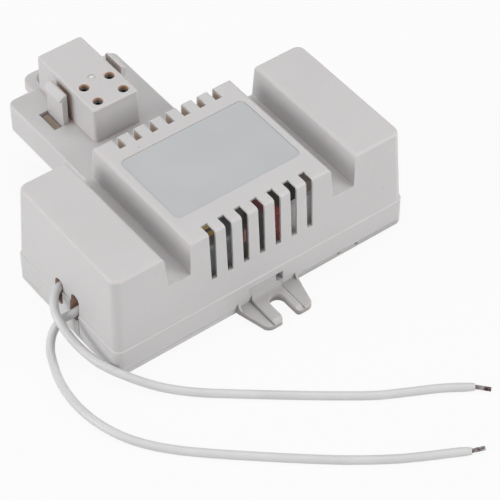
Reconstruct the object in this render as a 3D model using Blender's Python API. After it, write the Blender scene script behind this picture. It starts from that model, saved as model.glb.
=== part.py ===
import math

import bmesh
import bpy
from mathutils import Vector

mm = 0.001

# Clearance kept between pieces that seat on, or pass through, one another
gap = 0.3 * mm

# Body: X is its length, Y its width; the arm points to +Y and the fork lug to -Y
body_length = 91.5 * mm
body_width = 44.9 * mm
body_height = 32.2 * mm
corner_radius = 2.4 * mm
body_fillet = 0.9 * mm
wall_draft = 0.042
cover_wall = 1.8 * mm

# Band round the foot of the cover, proud of the walls above it
band_top = 8.8 * mm
band_step = 0.3 * mm

# Two channels that part the top into three blocks
channel_inner = 21.7 * mm
channel_outer = 29.6 * mm
channel_depth = 10.1 * mm
channel_draft = 0.055
channel_lip = 1.2 * mm
channel_root = 0.45 * mm

# Vents along the front edge and open notches along the rear edge of the centre block
vent_count = 7
vent_pitch = 5.0 * mm
vent_offset = -0.2 * mm
vent_width = 2.05 * mm
vent_foot_width = 1.7 * mm
vent_reach = 4.9 * mm
vent_foot = 16.4 * mm
notch_width = 2.1 * mm
notch_reach = 5.75 * mm
notch_foot = 24.0 * mm
vent_wall = 0.6 * mm
vent_margin = 0.8 * mm

# Label and the recess it lies in
label_length = 38.1 * mm
label_width = 24.8 * mm
label_offset = 0.3 * mm
label_radius = 1.6 * mm
label_sink = 0.2 * mm
label_thickness = 0.15 * mm

# Arm at the rear that carries the lamp holder
arm_centre = -7.25 * mm
arm_width = 34.1 * mm
arm_reach = 35.75 * mm
arm_height = 9.1 * mm
arm_corner = 2.0 * mm
arm_edge = 0.5 * mm
arm_top_wall = 2.0 * mm
arm_lip = 0.9 * mm

# Lamp holder block on the arm
holder_centre = -7.4 * mm
holder_length = 26.9 * mm
holder_width = 14.2 * mm
holder_height = 11.1 * mm
holder_setback = 0.3 * mm
holder_corner = 0.9 * mm
holder_edge = 0.6 * mm
holder_draft = 0.012

# Contact bores: the pin rectangle of a circular lamp's four-pin base
pin_pitch_x = 7.92 * mm
pin_pitch_y = 6.35 * mm
pin_offset_x = 0.2 * mm
pin_front_setback = 2.95 * mm
bore_diameter = 2.7 * mm
bore_chamfer = 0.3 * mm
contact_wall = 0.35 * mm
contact_sink = 1.2 * mm
contact_collar = 0.7 * mm
contact_collar_height = 0.8 * mm
gate_diameter = 2.2 * mm
gate_pin = 1.0 * mm
gate_depth = 0.2 * mm
gate_setback = 15.5 * mm

# Hook clips beside the lamp holder
clip_space = 1.6 * mm
clip_thickness = 1.3 * mm
clip_length = 7.3 * mm
clip_height = 10.6 * mm
clip_overhang = 0.8 * mm
clip_offset = 0.8 * mm
clip_web = 1.0 * mm
clip_web_height = 3.0 * mm
clip_corner = 0.7 * mm
core_hole_width = 2.8 * mm
core_pad_sink = 0.9 * mm

# Base plate
plate_thickness = 1.7 * mm
plate_joint = 0.3 * mm
plate_edge = 0.3 * mm
rim_height = 2.2 * mm
rim_wall = 1.1 * mm
post_height = 3.0 * mm
post_diameter = 3.6 * mm
post_inset = 3.2 * mm

# Fork lug of the base plate
lug_centre = 0.65 * mm
lug_reach = 10.25 * mm
lug_root_width = 19.4 * mm
lug_tip_width = 15.5 * mm
lug_tip_radius = 2.4 * mm
lug_thickness = 1.7 * mm
lug_slot_width = 4.5 * mm
lug_slot_setback = 2.15 * mm
lug_slot_offset = 0.1 * mm
lug_slot_flare = 1.2 * mm
lug_edge = 0.35 * mm
island_width = 9.4 * mm
island_height = 2.4 * mm
island_rise = 1.7 * mm
island_groove = 0.5 * mm
island_groove_depth = 0.9 * mm
island_corner = 1.4 * mm
island_setback = 0.35 * mm
gusset_width = 0.6 * mm
gusset_height = 1.4 * mm

# Window in the band and the latch block that shows in it
window_left = -4.8 * mm
window_right = 5.8 * mm
window_top = 6.4 * mm
latch_right = 3.55 * mm
latch_step = 3.5 * mm
latch_depth = 2.8 * mm

# Supply wires, their arches in the left wall and the tab that closes the arches from below
wire_diameter = 2.3 * mm
strand_diameter = 1.0 * mm
arch_pitch = 7.0 * mm
arch_offset = -0.5 * mm
arch_width = 3.65 * mm
arch_top = 14.4 * mm
tab_saddle = 6.0 * mm
tab_tongue = 11.2 * mm
tab_thickness = 2.6 * mm
terminal_length = 5.0 * mm
terminal_width = 12.8 * mm
terminal_height = 6.6 * mm
terminal_socket = 1.8 * mm
rear_wire_height = 11.3 * mm
front_wire_height = 8.7 * mm
terminal_setback = 4.55 * mm

# Plate under the arm, with the rear screw ear
floor_thickness = 1.6 * mm
ear_centre = -7.3 * mm
ear_width = 11.4 * mm
ear_thickness = 3.0 * mm
ear_reach = 11.9 * mm
ear_radius = 3.2 * mm
ear_slot_width = 4.4 * mm
ear_slot_length = 5.6 * mm
ear_slot_setback = 4.9 * mm
ear_slot_chamfer = 0.6 * mm
ear_step = 0.3 * mm

# Circuit board and what stands on it
board_thickness = 1.6 * mm
board_margin = 1.2 * mm
board_corner = 1.0 * mm
lead_diameter = 0.8 * mm
lead_bend = 1.2 * mm
lead_spacing = 1.7 * mm

core_length = 20.0 * mm
core_rise = 0.81
core_leg_share = 0.142
bobbin_wall = 0.8 * mm
bobbin_flange = 0.9 * mm
spool_radius = 4.6 * mm
spool_neck = 2.2 * mm
spool_flange = 1.4 * mm
spool_height = 12.0 * mm
ring_radius = 4.8 * mm
ring_hole = 2.5 * mm
ring_height = 4.6 * mm
reservoir_rise = 0.872
reservoir_share = 0.326
film_size = (0.0437 * body_length, 0.196 * body_width, 0.528 * body_height)
line_cap_length = 7.0 * mm
line_cap_height = 12.0 * mm
line_cap_shift = 2.3 * mm
line_cap_clearance = 0.85 * mm
line_cap_margin = 0.55 * mm
snubber_size = (0.0426 * body_length, 0.1225 * body_width, 0.621 * body_height)
sink_length = 9.4 * mm
sink_thickness = 1.1 * mm
sink_rise = 0.75
disc_radius = 3.2 * mm
disc_thickness = 1.4 * mm
diode_radius = 1.35 * mm
diode_length = 5.0 * mm
diode_lead = 0.4 * mm
resistor_radius = 1.6 * mm
resistor_length = 7.0 * mm
fuse_radius = 2.5 * mm
fuse_length = 12.0 * mm
transistor_width = 8.0 * mm
transistor_case = 11.0 * mm
transistor_thickness = 3.2 * mm
transistor_leg = 4.0 * mm
diode_pitch = 0.218
resistor_pitch = 0.259

# Where the parts stand on the board, as shares of its half length and half width
layout = {
    "filter": (-0.859, 0.622),
    "drive_ring": (0.596, 0.466),
    "diodes": (-0.606, -0.207),
    "resistors": (0.648, -0.389),
    "fuse": (-0.615, 0.549),
    "transistors": (0.88, 0.44),
}

# Where the parts under the centre block stand, as shares of its half length and of the board's half width
block_layout = {
    "choke": (-0.424, -0.497),
    "reservoir": (0.442, 0.083),
    "film_front": (0.293, -0.772),
    "film_side": (0.483, 0.69),
    "snubber": (0.797, -0.746),
    "heat_sink": (0.668, -0.956),
    "disc_capacitor": (0.12, -0.622),
}

# Marks on the front edge of the base plate
edge_mark_start = 23.8 * mm
edge_mark_pitch = 5.9 * mm

# Routes of the supply wires in millimetres, from the terminal out through the arches and along the floor
wire_routes = {
    "rear": [
        (-39.7, 2.9, 11.3),
        (-42.6, 2.85, 11.75),
        (-45.4, 2.7, 12.15),
        (-47.4, 1.75, 11.8),
        (-48.9, 0.1, 10.9),
        (-50.05, -2.1, 9.75),
        (-50.45, -4.8, 8.65),
        (-50.4, -8.0, 7.2),
        (-49.9, -11.9, 5.7),
        (-48.7, -17.4, 4.5),
        (-46.85, -22.1, 3.95),
        (-44.7, -25.6, 3.3),
        (-42.0, -29.4, 2.55),
        (-38.4, -33.7, 1.95),
        (-33.0, -38.8, 1.45),
        (-27.0, -43.6, 1.2),
        (-13.8, -54.2, 1.2),
        (-5.85, -60.4, 1.2),
        (1.9, -66.0, 1.2),
        (8.7, -69.8, 1.2),
        (15.7, -73.6, 1.2),
        (22.7, -78.3, 1.2),
    ],
    "front": [
        (-39.7, -4.0, 8.7),
        (-42.6, -4.0, 8.7),
        (-45.6, -3.95, 8.35),
        (-49.1, -2.6, 6.4),
        (-52.05, -3.05, 3.75),
        (-54.5, -5.7, 1.75),
        (-56.5, -10.4, 1.2),
        (-58.1, -15.5, 1.2),
        (-58.95, -21.6, 1.2),
        (-58.75, -27.9, 1.2),
        (-57.6, -33.6, 1.2),
        (-55.4, -39.5, 1.2),
        (-52.1, -44.9, 1.2),
        (-47.95, -49.9, 1.2),
        (-42.6, -55.2, 1.2),
        (-32.85, -63.9, 1.2),
        (-25.9, -69.9, 1.2),
        (-17.0, -77.2, 1.2),
        (-7.75, -83.8, 1.2),
        (-1.15, -87.7, 1.2),
        (5.75, -91.4, 1.2),
        (8.85, -93.2, 1.2),
    ],
}
strand_length = {"rear": 3.7 * mm, "front": 3.1 * mm}

curve_steps = 5
round_steps = 20

plate_top = plate_thickness
cover_bottom = plate_top + plate_joint
half_length = body_length / 2
half_width = body_width / 2
ceiling = body_height - cover_wall
channel_floor = body_height - channel_depth
arm_top = channel_floor
arm_bottom = arm_top - arm_height
arm_end = half_width + arm_reach
arm_ceiling = arm_top - arm_top_wall
holder_top = arm_top + holder_height
holder_rear = arm_end - holder_setback
holder_front = holder_rear - holder_length
ear_tip = arm_end + ear_reach
lug_tip = -half_width - lug_reach
board_bottom = plate_top + post_height + gap
board_top = board_bottom + board_thickness
seat = board_top + gap
headroom = ceiling - seat


for old in list(bpy.data.objects):
    bpy.data.objects.remove(old, do_unlink=True)

# The frame's origin lies under the middle of the rigid object
ballast = bpy.data.objects.new("ballast_origin", None)
bpy.context.scene.collection.objects.link(ballast)
ballast.location = (0, -(ear_tip + lug_tip) / 2, 0)


def finish(name, colour, roughness, metallic=0.0):
    material = bpy.data.materials.new(name)
    material.use_nodes = True
    shader = material.node_tree.nodes["Principled BSDF"]
    shader.inputs["Base Color"].default_value = (*colour, 1)
    shader.inputs["Roughness"].default_value = roughness
    shader.inputs["Metallic"].default_value = metallic
    return material


white_plastic = finish("white_plastic", (0.62, 0.61, 0.6), 0.45)
label_paper = finish("label_paper", (0.5, 0.51, 0.52), 0.5)
wire_sleeve = finish("wire_sleeve", (0.68, 0.68, 0.68), 0.4)
tinned_copper = finish("tinned_copper", (0.55, 0.47, 0.4), 0.4, 1.0)
contact_brass = finish("contact_brass", (0.7, 0.55, 0.35), 0.35, 1.0)
board_laminate = finish("board_laminate", (0.36, 0.22, 0.1), 0.6)
ferrite = finish("ferrite", (0.03, 0.03, 0.032), 0.5)
aluminium = finish("aluminium", (0.62, 0.63, 0.64), 0.35, 1.0)
bobbin_plastic = finish("bobbin_plastic", (0.02, 0.02, 0.02), 0.5)
yellow_tape = finish("yellow_tape", (0.75, 0.5, 0.06), 0.45)
copper_wire = finish("copper_wire", (0.6, 0.24, 0.08), 0.35, 1.0)
black_sleeve = finish("black_sleeve", (0.012, 0.012, 0.014), 0.35)
red_epoxy = finish("red_epoxy", (0.35, 0.03, 0.03), 0.3)
tan_case = finish("tan_case", (0.45, 0.3, 0.15), 0.4)
diode_black = finish("diode_black", (0.01, 0.01, 0.01), 0.45)
resistor_body = finish("resistor_body", (0.5, 0.38, 0.22), 0.5)
fuse_ceramic = finish("fuse_ceramic", (0.6, 0.58, 0.52), 0.4)
terminal_plastic = finish("terminal_plastic", (0.6, 0.6, 0.58), 0.45)


def place(name, data, material=None, location=(0, 0, 0)):
    obj = bpy.data.objects.new(name, data)
    bpy.context.scene.collection.objects.link(obj)
    obj.parent = ballast
    obj.location = location
    if material is None:
        obj.hide_render = True
        obj.display_type = "WIRE"
    else:
        obj.data.materials.append(material)
    return obj


def rounded_outline(corners, steps=curve_steps):
    """Corners are (x, y, radius), in order; each radius becomes an arc of equal steps."""
    points = []
    for i, (x, y, radius) in enumerate(corners):
        here = Vector((x, y))
        if radius <= 0:
            points.append(here)
            continue
        before = (Vector(corners[i - 1][:2]) - here).normalized()
        after = (Vector(corners[(i + 1) % len(corners)][:2]) - here).normalized()
        half_angle = before.angle(after) / 2
        centre = here + (before + after).normalized() * radius / math.sin(half_angle)
        start = here + before * radius / math.tan(half_angle) - centre
        end = here + after * radius / math.tan(half_angle) - centre
        sweep = start.angle_signed(end)
        for k in range(steps + 1):
            turn = -sweep * k / steps
            c, s = math.cos(turn), math.sin(turn)
            points.append(centre + Vector((c * start.x - s * start.y, s * start.x + c * start.y)))
    return points


def rectangle(half_x, half_y, radius, centre=(0, 0), steps=curve_steps):
    cx, cy = centre
    return rounded_outline(
        [
            (cx - half_x, cy - half_y, radius),
            (cx + half_x, cy - half_y, radius),
            (cx + half_x, cy + half_y, radius),
            (cx - half_x, cy + half_y, radius),
        ],
        steps,
    )


def circle(radius, centre=(0, 0), steps=round_steps):
    cx, cy = centre
    turns = [2 * math.pi * k / steps for k in range(steps)]
    return [Vector((cx + radius * math.cos(t), cy + radius * math.sin(t))) for t in turns]


def lift(point, level, axis):
    """An outline's point, moved to a level along the axis that the outline faces."""
    if axis == "X":
        return Vector((level, point[0], point[1]))
    if axis == "Y":
        return Vector((point[0], level, point[1]))
    return Vector((point[0], point[1], level))


def add_skin(bm, rings, axis="Z", closed=False):
    """Rings are (outline, level) pairs with equal point counts. Closed joins the last to the first."""
    layers = [[bm.verts.new(lift(p, level, axis)) for p in outline] for outline, level in rings]
    count = len(layers[0])
    pairs = list(zip(layers, layers[1:]))
    if closed:
        pairs.append((layers[-1], layers[0]))
    faces = []
    for lower, upper in pairs:
        for i in range(count):
            j = (i + 1) % count
            faces.append(bm.faces.new((lower[i], lower[j], upper[j], upper[i])))
    if not closed:
        faces.append(bm.faces.new(layers[0]))
        faces.append(bm.faces.new(layers[-1]))
    bmesh.ops.recalc_face_normals(bm, faces=faces)


def solid(name, groups, material=None, location=(0, 0, 0), smooth=None):
    """One object from groups of rings; each group is (rings, axis, closed)."""
    bm = bmesh.new()
    for rings, axis, closed in groups:
        add_skin(bm, rings, axis, closed)
    mesh = bpy.data.meshes.new(name)
    bm.to_mesh(mesh)
    bm.free()
    if smooth:
        mesh.shade_smooth()
        mesh.set_sharp_from_angle(angle=math.radians(smooth))
    return place(name, mesh, material, location)


def loft(name, rings, material=None, location=(0, 0, 0), axis="Z", smooth=None):
    return solid(name, [(rings, axis, False)], material, location, smooth)


def prism(name, outline, start, end, axis="Z", material=None, location=(0, 0, 0)):
    return solid(name, [([(outline, start), (outline, end)], axis, False)], material, location)


def turned(name, profile, material=None, location=(0, 0, 0), axis="Z", steps=round_steps):
    """Profile is (radius, level) pairs up the axis."""
    rings = [(circle(radius, steps=steps), level) for radius, level in profile]
    return solid(name, [(rings, axis, False)], material, location, 35)


def ring_solid(name, profile, material=None, location=(0, 0, 0), axis="Z", steps=round_steps):
    """Profile is a closed loop of (radius, level) pairs, turned about the axis."""
    rings = [(circle(radius, steps=steps), level) for radius, level in profile]
    return solid(name, [(rings, axis, True)], material, location, 35)


def boolean(target, tool, operation):
    step = target.modifiers.new(tool.name, "BOOLEAN")
    step.operation = operation
    step.object = tool


def fuse(target, *tools):
    for tool in tools:
        boolean(target, tool, "UNION")


def cut(target, *tools):
    for tool in tools:
        boolean(target, tool, "DIFFERENCE")


def soften(target, width, segments=2, angle=40):
    bevel = target.modifiers.new("edges", "BEVEL")
    bevel.width = width
    bevel.segments = segments
    bevel.limit_method = "ANGLE"
    bevel.angle_limit = math.radians(angle)


def wall_inset(z):
    """How far the drafted wall stands back from the band at this height."""
    return band_step + wall_draft * (z - band_top)


def inner_half(half, z):
    return half - wall_inset(z) - cover_wall


def quarter(radius, steps=curve_steps):
    """(inset, rise) pairs of a quarter round from an upright side over to a flat top."""
    turns = [math.pi / 2 * k / steps for k in range(steps + 1)]
    return [(radius * (1 - math.cos(t)), radius * math.sin(t)) for t in turns]


# Housing cover
def body_rings():
    rings = []
    for inset, z in ((0, cover_bottom), (0, band_top - band_step), (band_step, band_top)):
        rings.append((rectangle(half_length - inset, half_width - inset, corner_radius), z))
    start = body_height - body_fillet
    for inset, rise in quarter(body_fillet):
        total = wall_inset(start) + inset
        radius = corner_radius - inset
        rings.append((rectangle(half_length - total, half_width - total, radius), start + rise))
    return rings


def channel_outline(side):
    lean = channel_depth * channel_draft
    lip = [(inset, body_height - channel_lip + rise) for inset, rise in quarter(channel_lip)]
    corners = [(channel_inner - channel_lip, body_height + 2 * mm, 0)]
    corners += [(channel_inner - inset, z, 0) for inset, z in reversed(lip)]
    corners += [(channel_inner + lean, channel_floor, channel_root)]
    corners += [(channel_outer - lean, channel_floor, channel_root)]
    corners += [(channel_outer + inset, z, 0) for inset, z in lip]
    corners += [(channel_outer + channel_lip, body_height + 2 * mm, 0)]
    return rounded_outline([(side * x, z, radius) for x, z, radius in corners])


def cavity():
    lean = channel_depth * channel_draft
    foot = cover_bottom - 1 * mm
    under = channel_floor - cover_wall
    right = [
        (inner_half(half_length, foot), foot),
        (inner_half(half_length, ceiling), ceiling),
        (channel_outer + cover_wall, ceiling),
        (channel_outer - lean + cover_wall, under),
        (channel_inner + lean - cover_wall, under),
        (channel_inner - cover_wall, ceiling),
    ]
    outline = right + [(-x, z) for x, z in reversed(right)]
    hollow = prism("cover_hollow", outline, -half_width, half_width, "Y")
    for vertex in hollow.data.vertices:
        vertex.co.y = math.copysign(inner_half(half_width, vertex.co.z), vertex.co.y)
    return hollow


def vent_relief():
    """Thins the cover behind the vents and the notches."""
    half = (vent_count - 1) / 2 * vent_pitch + vent_width / 2 + vent_margin
    level = body_height - vent_wall
    groups = []
    for side, foot, reach in ((-1, vent_foot, vent_reach), (1, notch_foot, notch_reach)):
        low = foot - vent_margin
        near = half_width - reach - vent_margin
        profile = [
            (near, low),
            (half_width - wall_inset(low) - vent_wall, low),
            (half_width - wall_inset(level) - vent_wall, level),
            (near, level),
        ]
        outline = [(side * y, z) for y, z in profile]
        groups.append(([(outline, vent_offset - half), (outline, vent_offset + half)], "X", False))
    return solid("vent_relief", groups)


def slot_row(name, width, foot_width, foot, near, far):
    """A row of tapered slots, open at the top, cut along Y."""
    groups = []
    for i in range(vent_count):
        x = vent_offset + (i - (vent_count - 1) / 2) * vent_pitch
        outline = [
            (x - foot_width / 2, foot),
            (x + foot_width / 2, foot),
            (x + width / 2, body_height + 1 * mm),
            (x - width / 2, body_height + 1 * mm),
        ]
        groups.append(([(outline, near), (outline, far)], "Y", False))
    return solid(name, groups)


def block(name, low, high, corner=0.0, material=None):
    """An upright block between two opposite corners."""
    centre = ((low[0] + high[0]) / 2, (low[1] + high[1]) / 2)
    half = ((high[0] - low[0]) / 2, (high[1] - low[1]) / 2)
    outline = rectangle(*half, corner, centre)
    return prism(name, outline, low[2], high[2], "Z", material)


def edged_rings(half_x, half_y, corner, centre, bottom, top, edge, foot_edge=0.0, draft=0.0):
    """Rings of a block with a rounded top edge and, where foot_edge is given, a rounded foot."""
    rings = []
    if foot_edge > 0:
        for inset, rise in reversed(quarter(foot_edge, 3)):
            outline = rectangle(half_x - inset, half_y - inset, corner, centre)
            rings.append((outline, bottom + foot_edge - rise))
    else:
        rings.append((rectangle(half_x, half_y, corner, centre), bottom))
    for inset, rise in quarter(edge, 4):
        level = top - edge + rise
        inset += draft * (level - bottom)
        rings.append((rectangle(half_x - inset, half_y - inset, corner, centre), level))
    return rings


arm_start = half_width - 5 * mm
arm = loft(
    "arm_outside",
    edged_rings(
        arm_width / 2,
        (arm_end - arm_start) / 2,
        arm_corner,
        (arm_centre, (arm_end + arm_start) / 2),
        arm_bottom,
        arm_top,
        arm_edge,
        arm_edge,
    ),
)
holder = loft(
    "holder_block",
    edged_rings(
        holder_width / 2,
        holder_length / 2,
        holder_corner,
        (holder_centre, (holder_front + holder_rear) / 2),
        arm_top - arm_top_wall / 2,
        holder_top,
        holder_edge,
        0.0,
        holder_draft,
    ),
)

arm_ledge = floor_thickness + gap
hall_start = inner_half(half_width, arm_bottom) - 1.5 * mm
arm_hall = block(
    "arm_hall",
    (arm_centre - arm_width / 2 + cover_wall, hall_start, arm_bottom + arm_ledge - 0.5 * mm),
    (arm_centre + arm_width / 2 - cover_wall, arm_end - cover_wall, arm_ceiling),
    0.8 * mm,
)
mouth_start = half_width + 0.2 * mm
arm_mouth = block(
    "arm_mouth",
    (arm_centre - arm_width / 2 + arm_lip, mouth_start, arm_bottom - 1 * mm),
    (arm_centre + arm_width / 2 - arm_lip, arm_end - arm_lip, arm_bottom + arm_ledge),
    1.2 * mm,
)
ear_notch = block(
    "ear_notch",
    (ear_centre - ear_width / 2 - gap, arm_end - 3 * mm, arm_bottom - 1 * mm),
    (ear_centre + ear_width / 2 + gap, arm_end + 1 * mm, arm_bottom + ear_thickness + gap),
)

label_top = body_height - label_sink
recess_half = (label_length / 2 + gap, label_width / 2 + gap)
label_recess = prism(
    "label_recess",
    rectangle(*recess_half, label_radius, (0, label_offset)),
    label_top - label_thickness - gap,
    body_height + 1 * mm,
)

pin_centre_x = holder_centre + pin_offset_x
pin_front = holder_front + pin_front_setback
pin_points = [
    (pin_centre_x + side * pin_pitch_x / 2, pin_front + row * pin_pitch_y)
    for row in (0, 1)
    for side in (-1, 1)
]
bores = solid(
    "contact_bores",
    [
        (
            [
                (circle(bore_diameter / 2, point), arm_ceiling - 1 * mm),
                (circle(bore_diameter / 2, point), holder_top - bore_chamfer),
                (circle(bore_diameter / 2 + bore_chamfer, point), holder_top),
                (circle(bore_diameter / 2 + bore_chamfer, point), holder_top + 1 * mm),
            ],
            "Z",
            False,
        )
        for point in pin_points
    ],
)
gate_mark = ring_solid(
    "gate_mark",
    [
        (gate_pin / 2, holder_top - gate_depth),
        (gate_diameter / 2, holder_top - gate_depth),
        (gate_diameter / 2, holder_top + 1 * mm),
        (gate_pin / 2, holder_top + 1 * mm),
    ],
    None,
    (holder_centre, holder_rear - gate_setback, 0),
    steps=16,
)

# A clip rises from the arm; the core hole beside it let the mould form its hook, and a pad of the plate
# under the arm closes that hole from below
clip_face = holder_width / 2 + clip_space
clip_back = clip_face + clip_thickness
clip_middle = (holder_front + holder_rear) / 2 + clip_offset
clips = []
core_holes = []
core_pads = []
for side in (-1, 1):
    head = arm_top + clip_height
    hook = [
        (clip_face, arm_top - arm_top_wall / 2, 0),
        (clip_face, head - 0.6 * mm, 0),
        (clip_face - 0.2 * mm, head, 0.3 * mm),
        (clip_back + clip_overhang, head - 1.8 * mm, 0.5 * mm),
        (clip_back + clip_overhang, head - 2.3 * mm, 0.15 * mm),
        (clip_back, head - 2.5 * mm, 0),
        (clip_back, arm_top - arm_top_wall / 2, 0),
    ]
    outline = rounded_outline([(holder_centre + side * x, z, r) for x, z, r in hook], 2)
    clip = prism(
        "clip_right" if side > 0 else "clip_left",
        outline,
        clip_middle - clip_length / 2,
        clip_middle + clip_length / 2,
        "Y",
    )
    plan_half = (clip_back + clip_overhang - clip_face) / 2 + 0.2 * mm
    plan_centre = holder_centre + side * (clip_back + clip_overhang - plan_half)
    clip_plan = prism(
        "clip_plan",
        rectangle(plan_half, clip_length / 2, clip_corner, (plan_centre, clip_middle)),
        arm_ceiling,
        head + 1 * mm,
    )
    boolean(clip, clip_plan, "INTERSECT")
    clips.append(clip)
    web = sorted(
        (
            holder_centre + side * (holder_width / 2 - 1 * mm),
            holder_centre + side * (clip_face + 0.5 * mm),
        )
    )
    clips.append(
        block(
            "clip_web",
            (web[0], clip_middle - clip_web / 2, arm_top - arm_top_wall / 2),
            (web[1], clip_middle + clip_web / 2, arm_top + clip_web_height),
        )
    )
    hole = sorted((holder_centre + side * clip_back, holder_centre + side * (clip_back + core_hole_width)))
    hole_front = clip_middle - clip_length / 2
    hole_rear = clip_middle + clip_length / 2 + 0.2 * mm
    core_holes.append(
        block(
            "core_hole",
            (hole[0], hole_front, arm_ceiling - 1 * mm),
            (hole[1], hole_rear, arm_top + 1 * mm),
        )
    )
    core_pads.append(
        block(
            "core_pad_foot",
            (hole[0] - gap, hole_front - gap, arm_bottom + floor_thickness / 2),
            (hole[1] + gap, hole_rear + gap, arm_ceiling - gap),
        )
    )
    core_pads.append(
        block(
            "core_pad",
            (hole[0] + gap, hole_front + gap, arm_ceiling - 1 * mm),
            (hole[1] - gap, hole_rear - gap, arm_top - core_pad_sink),
        )
    )


def arch(centre, side):
    """Upper rim of an arch from its outer side to its inner side."""
    radius = arch_width / 2
    turns = [math.pi * k / 8 for k in range(9)]
    crown = arch_top - radius
    return [(arch_offset + centre + side * radius * math.cos(t), crown + radius * math.sin(t)) for t in turns]


opening_half = arch_pitch / 2 + arch_width / 2
tongue_half = arch_pitch / 2 - arch_width / 2
opening_outline = [(arch_offset + side * opening_half, cover_bottom - 1 * mm) for side in (-1, 1)]
opening_outline += arch(arch_pitch / 2, 1)
opening_outline += [(arch_offset + side * tongue_half, tab_tongue + gap) for side in (1, -1)]
opening_outline += reversed(arch(-arch_pitch / 2, -1))
wire_opening = prism(
    "wire_opening",
    opening_outline,
    -half_length - 1 * mm,
    1.2 * mm - inner_half(half_length, cover_bottom),
    "X",
)
window = block(
    "latch_window",
    (window_left, -half_width - 1 * mm, cover_bottom - 1 * mm),
    (window_right, 1.2 * mm - inner_half(half_width, cover_bottom), window_top),
)

cover = loft("housing_cover", body_rings(), white_plastic)
for side in (-1, 1):
    channel = prism(
        "channel_right" if side > 0 else "channel_left",
        channel_outline(side),
        -half_width - 2 * mm,
        half_width + 2 * mm,
        "Y",
    )
    cut(cover, channel)
fuse(cover, arm, holder, *clips)
cut(cover, cavity(), vent_relief(), arm_hall, arm_mouth, ear_notch)
cut(cover, label_recess, bores, gate_mark, *core_holes)
cut(
    cover,
    slot_row(
        "front_vents",
        vent_width,
        vent_foot_width,
        vent_foot,
        -half_width - 1 * mm,
        -half_width + vent_reach,
    ),
    slot_row(
        "rear_notches",
        notch_width,
        notch_width,
        notch_foot,
        half_width - notch_reach,
        half_width + 1 * mm,
    ),
    wire_opening,
    window,
)

label = prism(
    "rating_label",
    rectangle(label_length / 2, label_width / 2, label_radius - gap, (0, label_offset)),
    label_top - label_thickness,
    label_top,
    "Z",
    label_paper,
)

# Base plate with its rim, board posts, wire tab, latch block and fork lug
plate = loft(
    "base_plate",
    [
        (rectangle(half_length - plate_edge, half_width - plate_edge, corner_radius), 0),
        (rectangle(half_length, half_width, corner_radius), plate_edge),
        (rectangle(half_length, half_width, corner_radius), plate_top),
    ],
    white_plastic,
)
rim_top = plate_top + rim_height
rim_outer = (inner_half(half_length, rim_top) - gap, inner_half(half_width, rim_top) - gap)
rim_inner = (rim_outer[0] - rim_wall, rim_outer[1] - rim_wall)
rim = solid(
    "seating_rim",
    [
        (
            [
                (rectangle(*rim_outer, 1.5 * mm), plate_top / 2),
                (rectangle(*rim_outer, 1.5 * mm), rim_top),
                (rectangle(*rim_inner, 0.6 * mm), rim_top),
                (rectangle(*rim_inner, 0.6 * mm), plate_top / 2),
            ],
            "Z",
            True,
        )
    ],
)

board_half = (
    inner_half(half_length, board_bottom) - board_margin,
    inner_half(half_width, board_bottom) - board_margin,
)
posts = solid(
    "board_posts",
    [
        (
            [
                (circle(post_diameter / 2, (x, y), 12), plate_top / 2),
                (circle(post_diameter / 2, (x, y), 12), plate_top + post_height),
            ],
            "Z",
            False,
        )
        for x in (post_inset - board_half[0], 0, board_half[0] - post_inset)
        for y in (post_inset - board_half[1], board_half[1] - post_inset)
    ],
)


def saddle(centre, side):
    """The tab's round hollow under a wire, from its outer side to its inner side."""
    radius = arch_width / 2
    outer = math.asin(1 - gap / radius)
    turns = [outer - (outer + math.pi / 2) * k / 8 for k in range(9)]
    middle = arch_offset + centre
    return [(middle + side * radius * math.sin(t), tab_saddle + radius - radius * math.cos(t)) for t in turns]


tab_half = opening_half - gap
tab_outline = [(arch_offset + side * tab_half, plate_top / 2) for side in (-1, 1)]
tab_outline += saddle(arch_pitch / 2, 1)
tab_outline += [(arch_offset + side * tongue_half, tab_tongue) for side in (1, -1)]
tab_outline += reversed(saddle(-arch_pitch / 2, -1))
tab = prism("wire_tab", tab_outline, -half_length, tab_thickness - half_length, "X")

latch = prism(
    "latch_block",
    [
        (window_left + gap, plate_top / 2),
        (window_right - gap, plate_top / 2),
        (window_right - gap, latch_step),
        (latch_right, latch_step),
        (latch_right, window_top - gap),
        (window_left + gap, window_top - gap),
    ],
    -half_width,
    latch_depth - half_width,
    "Y",
)

wings = prism(
    "lug_wings",
    rounded_outline(
        [
            (lug_centre - lug_root_width / 2, -half_width + 2 * mm, 0),
            (lug_centre - lug_root_width / 2, -half_width - 0.4 * mm, 0),
            (lug_centre - lug_tip_width / 2, lug_tip + lug_tip_radius, 0.6 * mm),
            (lug_centre - lug_tip_width / 2 + 0.4 * mm, lug_tip, lug_tip_radius),
            (lug_centre + lug_tip_width / 2 - 0.4 * mm, lug_tip, lug_tip_radius),
            (lug_centre + lug_tip_width / 2, lug_tip + lug_tip_radius, 0.6 * mm),
            (lug_centre + lug_root_width / 2, -half_width - 0.4 * mm, 0),
            (lug_centre + lug_root_width / 2, -half_width + 2 * mm, 0),
        ]
    ),
    0,
    lug_thickness,
)
soften(wings, lug_edge, 2, 60)
island_left = lug_slot_offset + lug_centre - island_width / 2 - 0.6 * mm
island_right = island_left + island_width
rise = [(inset, depth) for inset, depth in quarter(island_rise)]
island = prism(
    "lug_island",
    [(1 * mm - half_width, plate_top / 2), (1 * mm - half_width, island_height + island_rise)]
    + [(-half_width - inset, island_height + island_rise - depth) for inset, depth in rise]
    + [
        (lug_tip + 1.3 * mm, island_height),
        (lug_tip + island_setback + 0.2 * mm, island_height - 0.6 * mm),
        (lug_tip + island_setback, plate_top / 2),
    ],
    island_left,
    island_right,
    "X",
)
soften(island, lug_edge, 2, 60)
island_half = (island_width / 2 + gap, lug_reach / 2)
island_middle = ((island_left + island_right) / 2, lug_tip + island_setback + island_half[1] - gap)
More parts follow.
